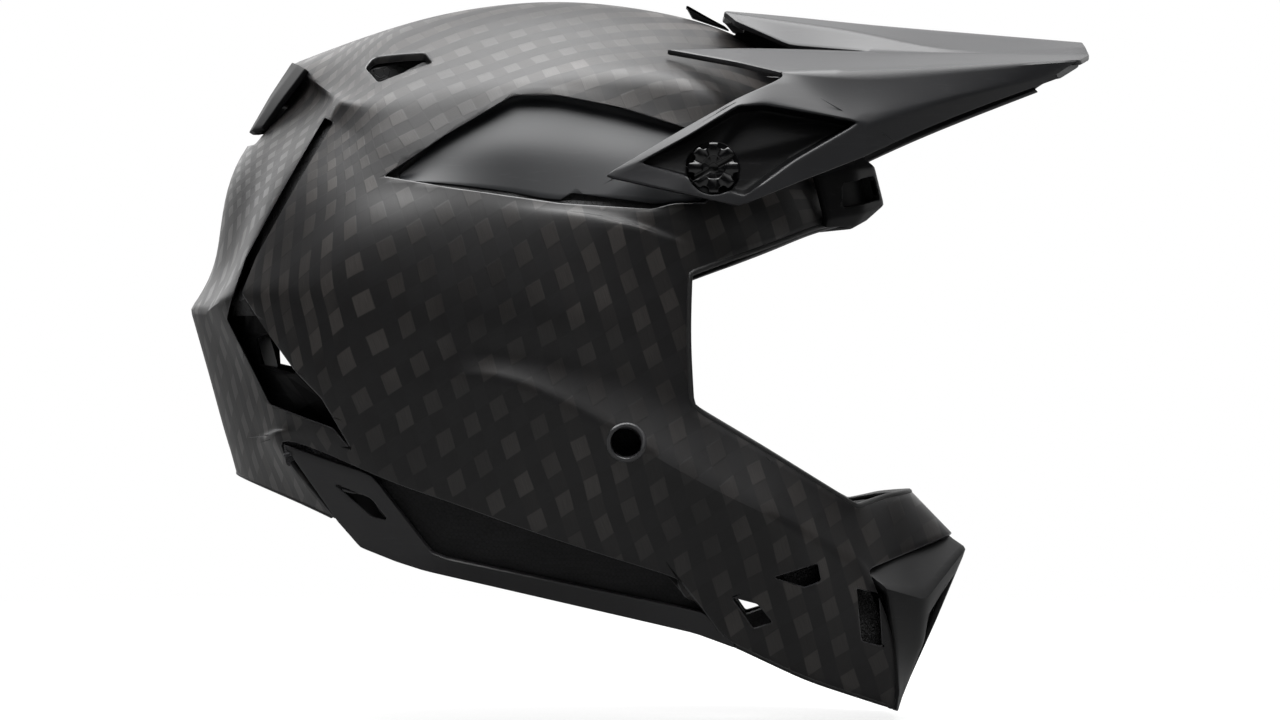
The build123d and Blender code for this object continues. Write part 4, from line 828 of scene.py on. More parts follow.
def beadAlong(name, frames, bead, closed=False):
    half = shellSettings["wall"] / 2
    moved = [(place - normal * half + out * bead["out"], normal, out) for place, normal, out in frames]
    return along(name, moved, blockSection(half + bead["skin"], bead["reach"]), closed=closed)


def runs(frames, wanted):
    # the longest stretches of a closed loop where a test holds
    count = len(frames)
    start = next(n for n in range(count) if not wanted(frames[n][0]))
    result, now = [], []
    for n in range(start, start + count + 1):
        frame = frames[n % count]
        if wanted(frame[0]) and n < start + count:
            now.append(frame)
        elif now:
            result.append(now)
            now = []
    return result


def addBeads():
    def onChin(place):
        return place.x > hem["chinFrom"] and place.z < hem["chinTop"] - (place.x - hem["slantFrom"]) * hem["slant"]

    portRing = next(ring for ring in shellRings if all(frame[0].x > 0.05 for frame in ring))
    hemRing = next(ring for ring in shellRings if any(frame[0].x < -0.1 for frame in ring))
    neckRun = max(runs(hemRing, lambda place: place.x < hem["neckTo"]), key=len)
    chinBeads = [beadAlong("chinBead", run, hemBead) for run in runs(hemRing, onChin)]
    for obj, node in ((beadAlong("eyePortBead", portRing, portBead, True), "eye_port_trim"),
                      (joined("chinEdgeBead", chinBeads), "chin_edge_trim"),
                      (beadAlong("neckEdgeBead", neckRun, hemBead), "neck_edge_trim")):
        dress(obj, beadRubber, node, 50)


addBeads()

# the raised lip round each side port: radius and lift from the surface
portLip = [(0.0066, -0.0024), (0.0066, 0.0), (0.0069, 0.0004), (0.0075, 0.0006), (0.0082, 0.0004), (0.0088, -0.0003),
           (0.0084, -0.0024)]


def addPortRims(steps=48):
    x, z = (value * headUnit for value in shellSettings["portMiddle"])
    made = []
    for side in (1, -1):
        rings = [[onShell(x + radius * math.cos(angle), z + radius * math.sin(angle), side, lift)
                  for radius, lift in portLip] for angle in (2 * math.pi * n / steps for n in range(steps))]
        made.append(sweep("rim", rings, closed=True))
    rims = joined("sidePortRims", made)
    rims.data.shade_smooth()
    # the lip gets the lighter edge material as a painted highlight on its rim
    extra(rims, carbonEdge)


addPortRims()
duct = {
    "back": [(-1.3, 0.06), (-1.37, -0.12), (-1.37, -0.235), (-1.37, -0.26), (-1.33, -0.37), (-1.29, -0.43),
             (-1.15, -0.62), (-0.82, -0.7)],
    "front": [(-1.2, 0.03), (-1.14, -0.12), (-1.15, -0.235), (-1.23, -0.26), (-1.22, -0.37), (-1.05, -0.41),
              (-0.89, -0.49), (-0.74, -0.69)],
    "lobe": [(-1.37, -0.14), (-1.24, -0.14), (-1.245, -0.25), (-1.21, -0.375), (-1.22, -0.45), (-1.31, -0.32)],
    "lobeHalf": 0.44, "steps": 5, "inset": 0.012, "wall": 0.0012}


def addRearDucts():
    # a near-black wall inside each rear gap, painted shade there, which leaves a small see-through corner
    steps, made = duct["steps"], []
    for side in (1, -1):
        points = []
        for back, front in zip(duct["back"], duct["front"]):
            for n in range(steps + 1):
                x, z = ((a + (b - a) * n / steps) * headUnit for a, b in zip(back, front))
                points.append(onShell(x, z, side) - Vector((0, side * duct["inset"], 0)))
        width = steps + 1
        faces = [[row * width + n, row * width + n + 1, (row + 1) * width + n + 1, (row + 1) * width + n][::side]
                 for row in range(len(duct["back"]) - 1) for n in range(steps)]
        made.append(wall(fromLists("duct", points, faces), duct["wall"]))
    made.append(sideBar(duct["lobe"], 1, -duct["lobeHalf"], duct["lobeHalf"]))
    extra(joined("rearDucts", made), pocketPlastic)


addRearDucts()

# ---- side panels
panelRows = [
    (0, 0, [(-0.6, 0.95, 0.44), (-0.37, 0.905, 0.635), (-0.115, 0.885, 0.8), (0.105, 0.895, 0.8),
        (0.34, 0.89, 0.75), (0.61, 0.86, 0.67), (0.77, 0.81, 0.61)]),
    (1, 0, [(-0.6, 0.95, 0.436), (-0.37, 0.917, 0.611), (-0.115, 0.891, 0.748), (0.105, 0.901, 0.745),
        (0.34, 0.896, 0.695), (0.61, 0.865, 0.625), (0.77, 0.814, 0.575)]),
    (2, 0, [(-0.6, 0.955, 0.425), (-0.37, 0.98, 0.505), (-0.115, 1.02, 0.565), (0.11, 1.03, 0.55),
        (0.34, 1.02, 0.525), (0.565, 0.98, 0.48), (0.735, 0.92, 0.46)]),
    (3, 0, [(-0.6, 0.985, 0.418), (-0.37, 1.04, 0.397), (-0.11, 1.09, 0.36), (0.085, 1.11, 0.33),
        (0.34, 1.105, 0.33), (0.48, 1.085, 0.315), (0.69, 1.01, 0.332)]),
]
panelSettings = {"wall": 0.0022, "edge": 0.0004, "well": 0.135,
                 "slot": [(0.05, 0.27), (0.06, 0.312), (0.14, 0.358), (0.5, 0.312), (0.46, 0.25)]}


def addPanels():
    faces = [cell(row, column) for row in range(3) for column in range(6)]
    creases = {**creaseRow(1, 0, 6, 0.6), **creaseRow(2, 0, 6, 0.3)}
    panel = smoothCage("sidePanelLeft", oneSide(rowPoints(panelRows)), faces, creases, corner=1.0)
    wall(panel, panelSettings["wall"])
    cut(panel, sideBar(circle(panelSettings["well"], 48, pivot), radius=0), sideBar(panelSettings["slot"], radius=0.01))
    softened(panel, panelSettings["edge"])
    dress(mirroredCopy(panel, "sidePanelRight"), panelPlastic, "side_panel_right")
    dress(panel, panelPlastic, "side_panel_left")


addPanels()

# ---- brow insert, rear fin and chin vent trim
insertRows = [
    ("top", 0, [(1.165, 0.5, 0.49), (1.33, 0.27, 0.525), (1.42, 0, 0.55)]),
    ("front", 0, [(1.2, 0.51, 0.445), (1.375, 0.28, 0.48), (1.47, 0, 0.505)]),
    ("low", 0, [(1.245, 0.5, 0.265), (1.41, 0.28, 0.3), (1.51, 0, 0.34)]),
    ("lip", 0, [(1.24, 0.485, 0.225), (1.375, 0.27, 0.235), (1.43, 0, 0.265)]),
]
finRows = [
    ("root", 0, [(-1.045, 0.27, 0.93), (-1.085, 0.14, 0.955), (-1.118, 0, 0.972)]),
    ("mid", 0, [(-1.145, 0.25, 0.8), (-1.19, 0.13, 0.82), (-1.215, 0, 0.825)]),
    ("tip", 0, [(-1.24, 0.2, 0.672), (-1.29, 0.12, 0.665), (-1.31, 0, 0.66)]),
]
trimRows = [
    ("seam", 0, [(1.392, 0.54625, -1.258), (1.59, 0.2755, -1.185), (1.777, 0, -1.114)]),
    ("beak", 0, [(1.5, 0.575, -1.345), (1.68, 0.38, -1.395), (1.875, 0, -1.19)]),
    ("cheek", 0, [(1.54, 0.505, -1.58), (1.665, 0.3, -1.6), (1.745, 0, -1.505)]),
    ("low", 0, [(1.56, 0.44, -1.8), (1.6, 0.23, -1.78), (1.63, 0, -1.76)]),
    ("foot", 0, [(1.55, 0.42, -1.88), (1.565, 0.2, -1.9), (1.57, 0, -1.905)]),
]
insertVent = [(0.05, 0.36), (0.22, 0.34), (0.4, 0.315), (0.37, 0.42), (0.2, 0.45), (0.05, 0.465)]
insertWeb = [(1.15, 0.5), (1.4, 0.53), (1.445, 0.5), (1.485, 0.4), (1.475, 0.35), (1.34, 0.3), (1.2, 0.4)]
insertSlats = {"left": (0.013, 0.02, 0.027, 0.034), "front": 0.139, "slant": 0.55, "half": 0.0007, "depth": 0.012,
               "low": 0.031, "high": 0.0455}
insertBack = {"behind": 0.07, "narrowed": 0.94, "wall": 0.0012, "crease": 0.3}
chinIntake = [(0.04, -1.3), (0.3, -1.47), (0.24, -1.64), (0.16, -1.74), (0.04, -1.74)]
chinFoam = [(1.36, -1.32), (1.52, -1.35), (1.52, -1.62), (1.38, -1.6)]
trimWall = 0.0026


def moulding(name, half, rows, crease, thickness=trimWall, cutters=(), edge=0.0005, flip=1):
    faces = [[(lower, step + 1), (lower, step), (upper, step), (upper, step + 1)][::flip]
             for upper, lower in zip(rows, rows[1:]) for step in range(2)]
    points, whole, creases = bothSides(half, faces, {})
    made = smoothCage(name, points, whole, creases, base=crease, corner=1.0)
    wall(made, thickness)
    if cutters:
        cut(made, *cutters)
    if edge:
        softened(made, edge)
    return made


def addBrowInsert():
    shape, half = insertSlats, insertSlats["half"]
    frontPlate = moulding("browInsert", rowPoints(insertRows), ["top", "front", "low", "lip"], 0.7,
                          cutters=[foreBar(insertVent, 1.15, 2.0, side) for side in (1, -1)])
    backPoints = {name: (x - insertBack["behind"], y * insertBack["narrowed"], z)
                  for name, (x, y, z) in rowPoints(insertRows[1:3]).items()}
    backPlate = moulding("backPlate", backPoints, ["front", "low"], insertBack["crease"], insertBack["wall"], edge=0)
    slats = [prism("slat", [(-half, 0.0), (half, 0.0), (half, shape["depth"]), (-half, shape["depth"])],
                   lambda a, b, d: Vector((shape["front"] - shape["slant"] * abs(y) - b, y + a, d)),
                   shape["low"], shape["high"])
             for y in (*[-y for y in shape["left"][::-1]], *shape["left"])]
    insert = joined("browInsert", [frontPlate, backPlate, sideBar(insertWeb, 1, -0.05, 0.05, 0), *slats])
    dress(insert, finPlastic, "brow_insert")


addBrowInsert()
fin = moulding("rearFin", rowPoints(finRows), ["root", "mid", "tip"], 0.55, flip=-1)
dress(fin, finPlastic, "rear_fin")
chinTrim = moulding("chinVentTrim", rowPoints(trimRows), ["seam", "beak", "cheek", "low", "foot"], 0.92,
                    cutters=[foreBar(chinIntake, 1.5, 2.0, side) for side in (1, -1)])
dress(chinTrim, trimPlastic, "chin_vent_trim")
# porous foam closes the front side vents as far as the trim
extra(joined("chinVentFoam", [sideBar(chinFoam, side, 0.3, 0.42, 0) for side in (1, -1)]), filterFoam)
print("trims ready")

# ---- visor
visorRows = [
    ("roof", 0, [(0.81, 0, 1.2), (1.095, 0, 1.175), (1.44, 0, 1.14), (1.85, 0, 1.105), (2.395, 0, 1.06)]),
    ("roofEdge", 0, [(0.8, 0.2, 1.185), (1.085, 0.27, 1.135), (1.43, 0.31, 1.08), (1.83, 0.33, 1.01),
        (2.395, 0.18, 1.03)]),
    ("roofFoot", 0, [(0.85, 0.28, 1.14), (1.085, 0.37, 1.03)]),
    ("valley", 0, [(0.545, 0.64, 0.995), (0.845, 0.57, 1.005), (1.08, 0.5, 1.005), (1.425, 0.43, 0.998),
        (1.83, 0.38, 0.99), (2.4, 0.3, 0.99)]),
    ("edge", 1, [(0.84, 0.75, 0.935), (1.025, 0.96, 0.88), (1.4, 0.975, 0.885), (1.8, 0.86, 0.91),
        (2.335, 0.62, 0.95)]),
    ("side", 2, [(1.02, 0.99, 0.85), (1.4, 1.06, 0.67), (1.775, 0.92, 0.77), (2.235, 0.66, 0.885)]),
    ("hem", 3, [(1.385, 1.05, 0.515), (1.755, 0.9, 0.68), (2.245, 0.64, 0.868)]),
    ("wing", 0, [(0.285, 1.165, 0.432), (0.56, 1.1, 0.605), (0.84, 1.045, 0.765)]),
    ("wing", 5, [(1.115, 1.09, 0.41), (0.85, 1.13, 0.305), (0.565, 1.17, 0.365)]),
    ("rim", 0, [(0.43, 1.152, 0.485), (0.64, 1.125, 0.605), (0.84, 1.088, 0.728), (0.965, 1.055, 0.735),
        (1.355, 1.063, 0.66), (1.09, 1.09, 0.5), (0.87, 1.126, 0.345), (0.64, 1.15, 0.42)]),
    ("floor", 0, [(0.46, 1.11, 0.484), (0.645, 1.055, 0.585), (0.845, 1.02, 0.7), (0.955, 0.97, 0.71),
        (1.3, 0.965, 0.645), (1.06, 1.015, 0.51), (0.865, 1.085, 0.375), (0.65, 1.11, 0.435)]),
    ("hub", 0, [(0.74, 1.072, 0.5)]),
]
visorSettings = {"wall": 0.0026, "crease": 0.74, "edge": 0.0006, "seatTop": 0.107, "seatThickness": 0.0036,
                 "seatRadius": 0.0115, "bore": 0.0032, "chamfer": 0.0004, "pocketDepth": 0.0009}


def visorFaces():
    faces = [cell("roof", n, "roofEdge") for n in range(4)] + [cell("roofEdge", 0, "roofFoot")]
    faces.append([("roofEdge", 1), ("roofEdge", 2), ("valley", 3), ("roofFoot", 1)])
    faces += [[("roofEdge", n), ("roofEdge", n + 1), ("valley", n + 2), ("valley", n + 1)] for n in (2, 3)]
    faces.append([("valley", 0), ("valley", 1), ("edge", 1)])
    for upper, lower, columns in (("valley", "edge", range(1, 5)), ("edge", "side", range(2, 5)),
                                  ("side", "hem", (3, 4))):
        faces += [cell(upper, n, lower) for n in columns]
    loop = [("wing", 0), ("wing", 1), ("wing", 2), ("side", 2), ("side", 3), ("wing", 5), ("wing", 6), ("wing", 7)]
    for n in range(8):
        after = (n + 1) % 8
        if n != 4:
            faces.append([loop[n], loop[after], ("rim", after), ("rim", n)])
        faces.append([("rim", n), ("rim", after), ("floor", after), ("floor", n)])
        faces.append([("floor", n), ("floor", after), ("hub", 0)])
    faces.append([("side", 3), ("hem", 3), ("rim", 4)])
    faces.append([("hem", 3), ("wing", 5), ("rim", 5), ("rim", 4)])
    return faces


def onPivot(side, x=0.0, y=0.0, z=0.0):
    return Vector((pivot[0] * headUnit + x, side * y, pivot[1] * headUnit + z))


def inside(x, z, outline):
    result = False
    for a, b in zip(outline, outline[1:] + outline[:1]):
        if (a.z > z) != (b.z > z) and x < (b.x - a.x) * (z - a.z) / (b.z - a.z) + a.x:
            result = not result
    return result


def paintPocketShade(visor, points):
    # the faces below the pocket's rim get near-black plastic as painted shade
    rims = [points[("rim", n)] for n in range(8)]
    visor.data.materials.append(pocketPlastic)
    for face in visor.data.polygons:
        x, y, z = face.center
        weights = [1 / ((x - rim.x) ** 2 + (z - rim.z) ** 2 + 1e-6) for rim in rims]
        level = sum(weight * rim.y for weight, rim in zip(weights, rims)) / sum(weights)
        if abs(y) < level - visorSettings["pocketDepth"] and inside(x, z, rims):
            face.material_index = 1


def addVisor():
    # the edges across the planes stay smooth
    flat = [((upper, n), (lower, n)) for upper, lower, first in (("roof", "roofEdge", 1), ("valley", "edge", 2),
                                                                 ("edge", "side", 2)) for n in range(first, first + 3)]
    flat += [(("roofEdge", 2), ("valley", 3)), (("roofEdge", 3), ("valley", 4)), (("side", 4), ("hem", 4)),
             (("side", 2), ("rim", 3))]
    creases = {**{frozenset(pair): 0.0 for pair in flat}, frozenset((("side", 2), ("side", 3))): 0.25}
    points, faces, creases = bothSides(rowPoints(visorRows), visorFaces(), creases)
    visor = smoothCage("visorBody", points, faces, creases, base=visorSettings["crease"], corner=1.0)
    wall(visor, visorSettings["wall"])
    high, outer, inner = (visorSettings[key] for key in ("seatTop", "seatRadius", "bore"))
    low, chamfer = high - visorSettings["seatThickness"], visorSettings["chamfer"]
    profile = [(inner, low), (outer, low), (outer, high - chamfer), (outer - chamfer, high), (inner, high)]
    well = circle(outer / headUnit, 48, pivot)
    cut(visor, *[sideBar(well, side, start=high / headUnit, radius=0) for side in (1, -1)])
    softened(visor, visorSettings["edge"])
    seats = [turned("seat", profile, lambda a, b, h: onPivot(side, a, h, b)) for side in (1, -1)]
    visor = joined("visorBody", [visor, *seats])
    dress(visor, visorPlastic, "visor", body="visor")
    paintPocketShade(visor, points)


addVisor()
guideOutline = [(0.63, 1.222), (0.66, 1.168), (0.8, 1.12), (0.83, 1.1076), (0.805, 1.13)]
webOutline = [(0.83, 1.15), (0.85, 1.168), (1.1, 1.138), (1.2, 1.06), (1.16, 1.03), (1.04, 1.045), (0.92, 1.1)]
ribOutline = [(0.82, 1.06), (0.86, 1.1), (0.95, 1.085), (1.07, 1.03), (1.15, 0.95), (1.1, 0.87), (0.95, 0.98)]
guide = sideBar(guideOutline, 1, -0.05, 0.05, 0.006, "visorGuide")
softened(guide, 0.0008)
dress(guide, trimPlastic, "visor_guide")
# under the roof, thin webs run each side of the guide and ribs beside them, near-black as painted shade
for name, outline, start, end, body in (("visorWebs", webOutline, 0.066, 0.086, "visor"),
                                        ("guideRibs", ribOutline, 0.094, 0.11, "helmet")):
    extra(joined(name, [sideBar(outline, side, start, end, 0.01) for side in (1, -1)]), pocketPlastic, body)

# ---- visor knobs
knob = {"radius": 0.0109, "height": 0.0075, "notch": 0.0019, "notches": 8, "slot": 0.0022, "slotDepth": 0.0018,
        "hex": 0.0023, "shank": 0.003, "shankLow": 0.0802, "play": 0.0002, "samples": 192, "edge": 0.00022,
        "groove": 0.0012, "grooveWidth": 0.16, "grooveFrom": 0.005, "turn": 28,
        # distances drawn in and below the top, and the dished top's radii
        "side": [(0.0, 0.0012), (0.00018, 0.0007), (0.0005, 0.00028), (0.001, 0.00006), (0.0015, 0.0)],
        "dish": [(0.0078, 0.0), (0.006, 0.0001), (0.0052, 0.0004), (0.0048, 0.0009), (0.0, 0.0009)]}


def knobRadius(off, shrink):
    # the notched outline, drawn in by a length, at an angle off the nearest notch
    radius, notch = knob["radius"] - shrink, knob["notch"] + shrink * 0.6
    beside = knob["radius"] * math.sin(off)
    if beside < notch:
        radius = min(radius, knob["radius"] * math.cos(off) - math.sqrt(notch * notch - beside * beside))
    return radius


def addKnob(name, side, node, body):
    start = visorSettings["seatTop"] + knob["play"]
    top = start + knob["height"]
    levels = [(0.0004, start), (0.0, start + 0.0004)] + [(shrink, top - drop) for shrink, drop in knob["side"]]
    step = 2 * math.pi / knob["notches"]
    rings = []
    for n in range(knob["samples"]):
        angle = 2 * math.pi * n / knob["samples"]
        off = (angle - step / 2) % step
        off = min(off, step - off)
        groove = knob["groove"] * math.exp(-(off / knob["grooveWidth"]) ** 2)
        profile = [(0.0, start)]
        for shrink, height in levels:
            dip = groove if height > start + knob["grooveFrom"] else 0.0
            profile.append((knobRadius(off, shrink), height - dip))
        for radius, drop in knob["dish"]:
            profile.append((radius, top - drop - groove * max(0.0, (radius - 0.0046) / 0.0032)))
        rings.append([onPivot(side, radius * math.cos(angle), height, radius * math.sin(angle))
                      for radius, height in profile])
    head = sweep("knob", rings, closed=True)
    applied(head, ("WELD", {"merge_threshold": 1e-6}))
    turn = math.radians(knob["turn"])
    half, reach, deep = knob["slot"] / 2, knob["radius"] * 1.2, knob["slotDepth"]

    def placed(a, b, d):
        return onPivot(side, a * math.cos(turn) - b * math.sin(turn), d, a * math.sin(turn) + b * math.cos(turn))

    for outline, depth in (([(-reach, -half), (reach, -half), (reach, half), (-reach, half)], deep),
                           (circle(knob["hex"], 6), 2 * deep)):
        cut(head, prism("bar", outline, placed, top - depth, top + 0.002))
    softened(head, knob["edge"], 45)
    low, high = knob["shankLow"], start + 0.0003
    shank = turned("shank", [(0.0, low), (knob["shank"], low), (knob["shank"], high), (0.0, high)],
                   lambda a, b, h: onPivot(side, a, h, b), 32)
    dress(joined(name, [head, shank]), knobPlastic, node, 30, body)


addKnob("visorKnobLeft", 1, "visor_screw_left", "left_visor_screw")
addKnob("visorKnobRight", -1, "visor_screw_right", "right_visor_screw")
print("visor ready")

# ---- lower skirt
skirtRows = [
    ("top", 0, [(-1.105, 0.845, -0.715), (-0.72, 1.035, -0.845), (-0.465, 1.02, -1.17), (-0.36, 1.03, -1.21),
        (0.685, 1.01, -1.425), (0.825, 0.975, -1.562)]),
    ("low", 0, [(-0.87, 0.885, -1.045), (-0.77, 0.905, -1.155), (-0.62, 0.93, -1.215), (-0.47, 0.96, -1.26),
        (0.64, 0.985, -1.515), (0.83, 0.97, -1.582)]),
]
skirt = {"wall": 0.0024, "edge": 0.0006, "crease": 0.6,
         "vent": [(-0.88, -0.88), (-0.72, -0.94), (-0.645, -1.035), (-0.715, -1.02)]}


def addSkirts():
    faces = [cell("top", n, "low") for n in range(5)]
    made = smoothCage("skirtLeft", oneSide(rowPoints(skirtRows)), faces, {}, base=skirt["crease"], corner=1.0)
    wall(made, skirt["wall"])
    cut(made, sideBar(skirt["vent"]))
    softened(made, skirt["edge"])
    dress(mirroredCopy(made, "skirtRight"), skirtPlastic, "skirt_right")
    dress(made, skirtPlastic, "skirt_left")


addSkirts()


# ---- soft parts
def patch(rows, lift, faces=lambda normal: True):
    # a smooth surface through rows of points, with its normal; faces tells which way is out
    def place(u, v):
        return alongCurve([alongCurve(row, u) for row in rows], v)

    def surface(u, v, flip=1, e=0.004):
        u, v = min(max(u, e), 1 - e), min(max(v, e), 1 - e)
        across = (place(u + e, v) - place(u - e, v)).cross(place(u, v + e) - place(u, v - e))
        normal = across.normalized() * flip
        return place(u, v) + normal * lift, normal

    flip = 1 if faces(surface(0.5, 0.5)[1]) else -1
    return lambda u, v: surface(u, v, flip)


def roughly(point, scale, seed):
    return noise.noise(Vector(point) * scale + Vector((seed, seed * 1.7, seed * 0.3)))


def inCushion(a, b, corner):
    # shares of a patch for a place (-1..1) in a pad with drawn-in sides
    return 0.5 + 0.5 * a * math.sqrt(1 - corner * b * b), 0.5 + 0.5 * b * math.sqrt(1 - corner * a * a)


# how soon the front and the back curve in to the seam, and how the front wrinkles
cushion = {"front": 6, "back": 12, "wrinkle": 0.0005, "wrinkleScale": 90}


def quilt(surface, thickness, size, corner, channels, depth=0.45):
    # a stuffed pad over a patch: its two sides meet at a seam half way through
    nu, nv = size
    points, faces, index = [], [], {}
    for side in (1, -1):
        power = cushion["front"] if side > 0 else cushion["back"]
        for i in range(nu + 1):
            for j in range(nv + 1):
                if side < 0 and (i in (0, nu) or j in (0, nv)):
                    index[(side, i, j)] = index[(1, i, j)]
                    continue
                # rows crowd together towards the seam
                a, b = math.sin((2 * i / nu - 1) * math.pi / 2), 2 * j / nv - 1
                b = math.sin(b * math.pi / 2) if nv < 3 * nu else b
                u, v = inCushion(a, b, corner)
                here, normal = surface(u, v)
                fill = math.sqrt(max(0.0, 1 - abs(a) ** power)) * math.sqrt(max(0.0, 1 - abs(b) ** (power * 2)))
                if side > 0:
                    for middle, width in channels:
                        fill *= 1 - depth * math.exp(-((v - middle) / width) ** 2)
                    fill += roughly(here, cushion["wrinkleScale"], 3.0) * cushion["wrinkle"] / thickness * fill
                index[(side, i, j)] = len(points)
                points.append(here + normal * thickness * (0.5 + 0.5 * side * fill))
    for side in (1, -1):
        for i in range(nu):
            for j in range(nv):
                around = [(i, j), (i + 1, j), (i + 1, j + 1), (i, j + 1)][::side]
                faces.append([index[(side, *spot)] for spot in around])
    return closedForm("pad", points, faces)


def seamCord(surface, thickness, corner, radius, samples=160):
    # piping along a pad's border
    line, normals = [], []
    for n in range(samples):
        leg, share = divmod(4 * n / samples, 1)
        f = 2 * share - 1
        here, normal = surface(*inCushion(*[(f, -1), (1, f), (-f, 1), (-1, -f)][int(leg)], corner))
        line.append(here + normal * thickness * 0.5)
        normals.append(normal)
    frames = [(here, normal, way.cross(normal).normalized())
              for here, normal, way in zip(line, normals, headings(line))]
    return along("piping", frames, circle(1.0, 6), radius)


def addPad(name, parts, body, node):
    made = joined(name, parts)
    dress(made, padCloth, node, 60, body)


def evenly(count, width):
    return [(k / count, width) for k in range(1, count)]


headHalf = (0.1, 0.083, 0.093)
liner = {"inset": 0.0006, "thickness": 0.0046, "cord": 0.0005, "corner": 0.132, "browCorner": 0.16}


def headPoint(direction):
    sizes = [half - liner["inset"] for half in headHalf]
    here = Vector([size * share for size, share in zip(sizes, direction)])
    return here, -Vector([value / size ** 2 for size, value in zip(sizes, here)]).normalized()


def foreAftStrip(start, end, low, high):
    # angles in degrees: start to end over the crown, low to high towards the left
    def surface(u, v):
        over = math.radians(start + (end - start) * v)
        side = math.radians(low + (high - low) * u)
        return headPoint((math.cos(over) * math.cos(side), math.sin(side), math.sin(over) * math.cos(side)))
    return surface


def roundStrip(start, end, low, high):
    # angles in degrees round the head from the front; low(angle) and high are heights in head units
    def surface(u, v):
        turn = math.radians(start + (end - start) * v)
        height = (low(turn) + (high - low(turn)) * u) * headUnit / headHalf[2]
        flat = math.sqrt(max(0.0, 1 - height * height))
        return headPoint((flat * math.cos(turn), flat * math.sin(turn), height))
    return surface


def addLinerPads():
    thickness = liner["thickness"]
    comfort = [(foreAftStrip(45, 140, -13, 13), (20, 64), evenly(5, 0.012)),
               (foreAftStrip(47, 136, 17, 36), (20, 96), evenly(5, 0.012)),
               (foreAftStrip(47, 136, -36, -17), (20, 96), evenly(5, 0.012)),
               (roundStrip(64, 296, lambda turn: 0.12, 0.5), (20, 96), evenly(8, 0.008))]
    brow = [(roundStrip(-42, 42, lambda turn: 0.075 + (math.cos(turn) - 0.75) * 0.36, 0.33), (20, 60),
             evenly(6, 0.01))]
    for name, node, strips, corner in (("comfortPads", "comfort_liner", comfort, liner["corner"]),
                                       ("browPad", "brow_pad", brow, liner["browCorner"])):
        parts = []
        for surface, size, channels in strips:
            parts += [quilt(surface, thickness, size, corner, channels),
                      seamCord(surface, thickness, corner, liner["cord"])]
        addPad(name, parts, "head_liner", node)


addLinerPads()
cheekPadOutline = [(-0.3, -0.3), (0.12, -0.25), (0.5, -0.36), (0.56, -0.62), (0.46, -0.98), (0.12, -1.1),
                   (-0.26, -0.86)]
cheekPad = {"back": 0.0931, "thickness": 0.017, "corner": 0.16, "rings": 26, "steps": 10, "cord": 0.0008,
            "foldStart": (0.2, -0.1), "foldEnd": (0.02, -1.2), "foldWidth": 0.022}


def addCheekPad(name, side, node, body):
    outline = rounded(cheekPadOutline, cheekPad["corner"], cheekPad["steps"])
    middle = sum(outline, Vector((0, 0))) / len(outline)
    count, rings = len(outline), cheekPad["rings"]
    # a fold line across the pad parts its front cushion from its rear one
    foldStart = Vector(cheekPad["foldStart"])
    foldWay = (Vector(cheekPad["foldEnd"]) - foldStart).normalized()

    def place(s, n, front):
        flat = middle + (outline[n] - middle) * s
        fill = math.sqrt(max(0.0, 1 - s ** (5 if front else 14)))
        if front:
            off = flat - foldStart
            across = abs(off.x * foldWay.y - off.y * foldWay.x)
            fill *= 1 - 0.3 * math.exp(-(across / cheekPad["foldWidth"]) ** 2)
            fill *= 1 - 0.22 * math.exp(-((s - 0.78) / 0.028) ** 2)
            fill += 0.05 * roughly((flat.x, flat.y, 0), 9, 1.0 + side)
        depth = cheekPad["thickness"] * (0.5 + 0.5 * (fill if front else -fill))
        return Vector((flat.x * headUnit, side * (cheekPad["back"] - depth), flat.y * headUnit))

    points, faces = [], []
    for front, used in ((True, rings), (False, rings - 1)):
        # rings from the middle out, then the middle itself; the back ends on the front's last ring
        base, hub = len(points), len(points) + used * count
        for k in range(1, used + 1):
            points += [place(math.sin(k / rings * math.pi / 2), n, front) for n in range(count)]
        points.append(place(0.0, 0, front))
        starts = [base + k * count for k in range(used)] + ([] if front else [(rings - 1) * count])
        for n in range(count):
            m = (n + 1) % count
            faces.append([hub, base + n, base + m])
            faces += [[low + n, high + n, high + m, low + m] for low, high in zip(starts, starts[1:])]
    rim = [place(1.0, n, True) for n in range(count)]
    upright = Vector((0, 1, 0))
    frames = [(here, way.cross(upright).normalized(), upright) for here, way in zip(rim, headings(rim))]
    piping = along("piping", frames, circle(1.0, 6), cheekPad["cord"])
    addPad(name, [closedForm("pad", points, faces), piping], body, node)


addCheekPad("cheekPadLeft", 1, "cheek_pad_left", "left_cheek_pad")
addCheekPad("cheekPadRight", -1, "cheek_pad_right", "right_cheek_pad")
neck = {"lift": 0.0036, "thickness": 0.0126, "corner": 0.1, "cord": 0.0007}


def addNeckRoll():
    table = oneSide(rowPoints(shellRows))
    rows = []
    for level in (lowJaw, base, tail):
        half = [table[(level, column)] for column in (2, 1, 0)]
        rows.append(half + [Vector((p.x, -p.y, p.z)) for p in half[-2::-1]])
    surface = patch(rows, neck["lift"], lambda normal: normal.x >= 0)

    def upAndRound(u, v):
        return surface(v, u)

    thickness, corner = neck["thickness"], neck["corner"]
    parts = [quilt(upAndRound, thickness, (16, 90), corner, evenly(8, 0.01), 0.3),
             seamCord(upAndRound, thickness, corner, neck["cord"])]
    addPad("neckRoll", parts, "helmet", "neck_roll")


addNeckRoll()
print("pads ready")

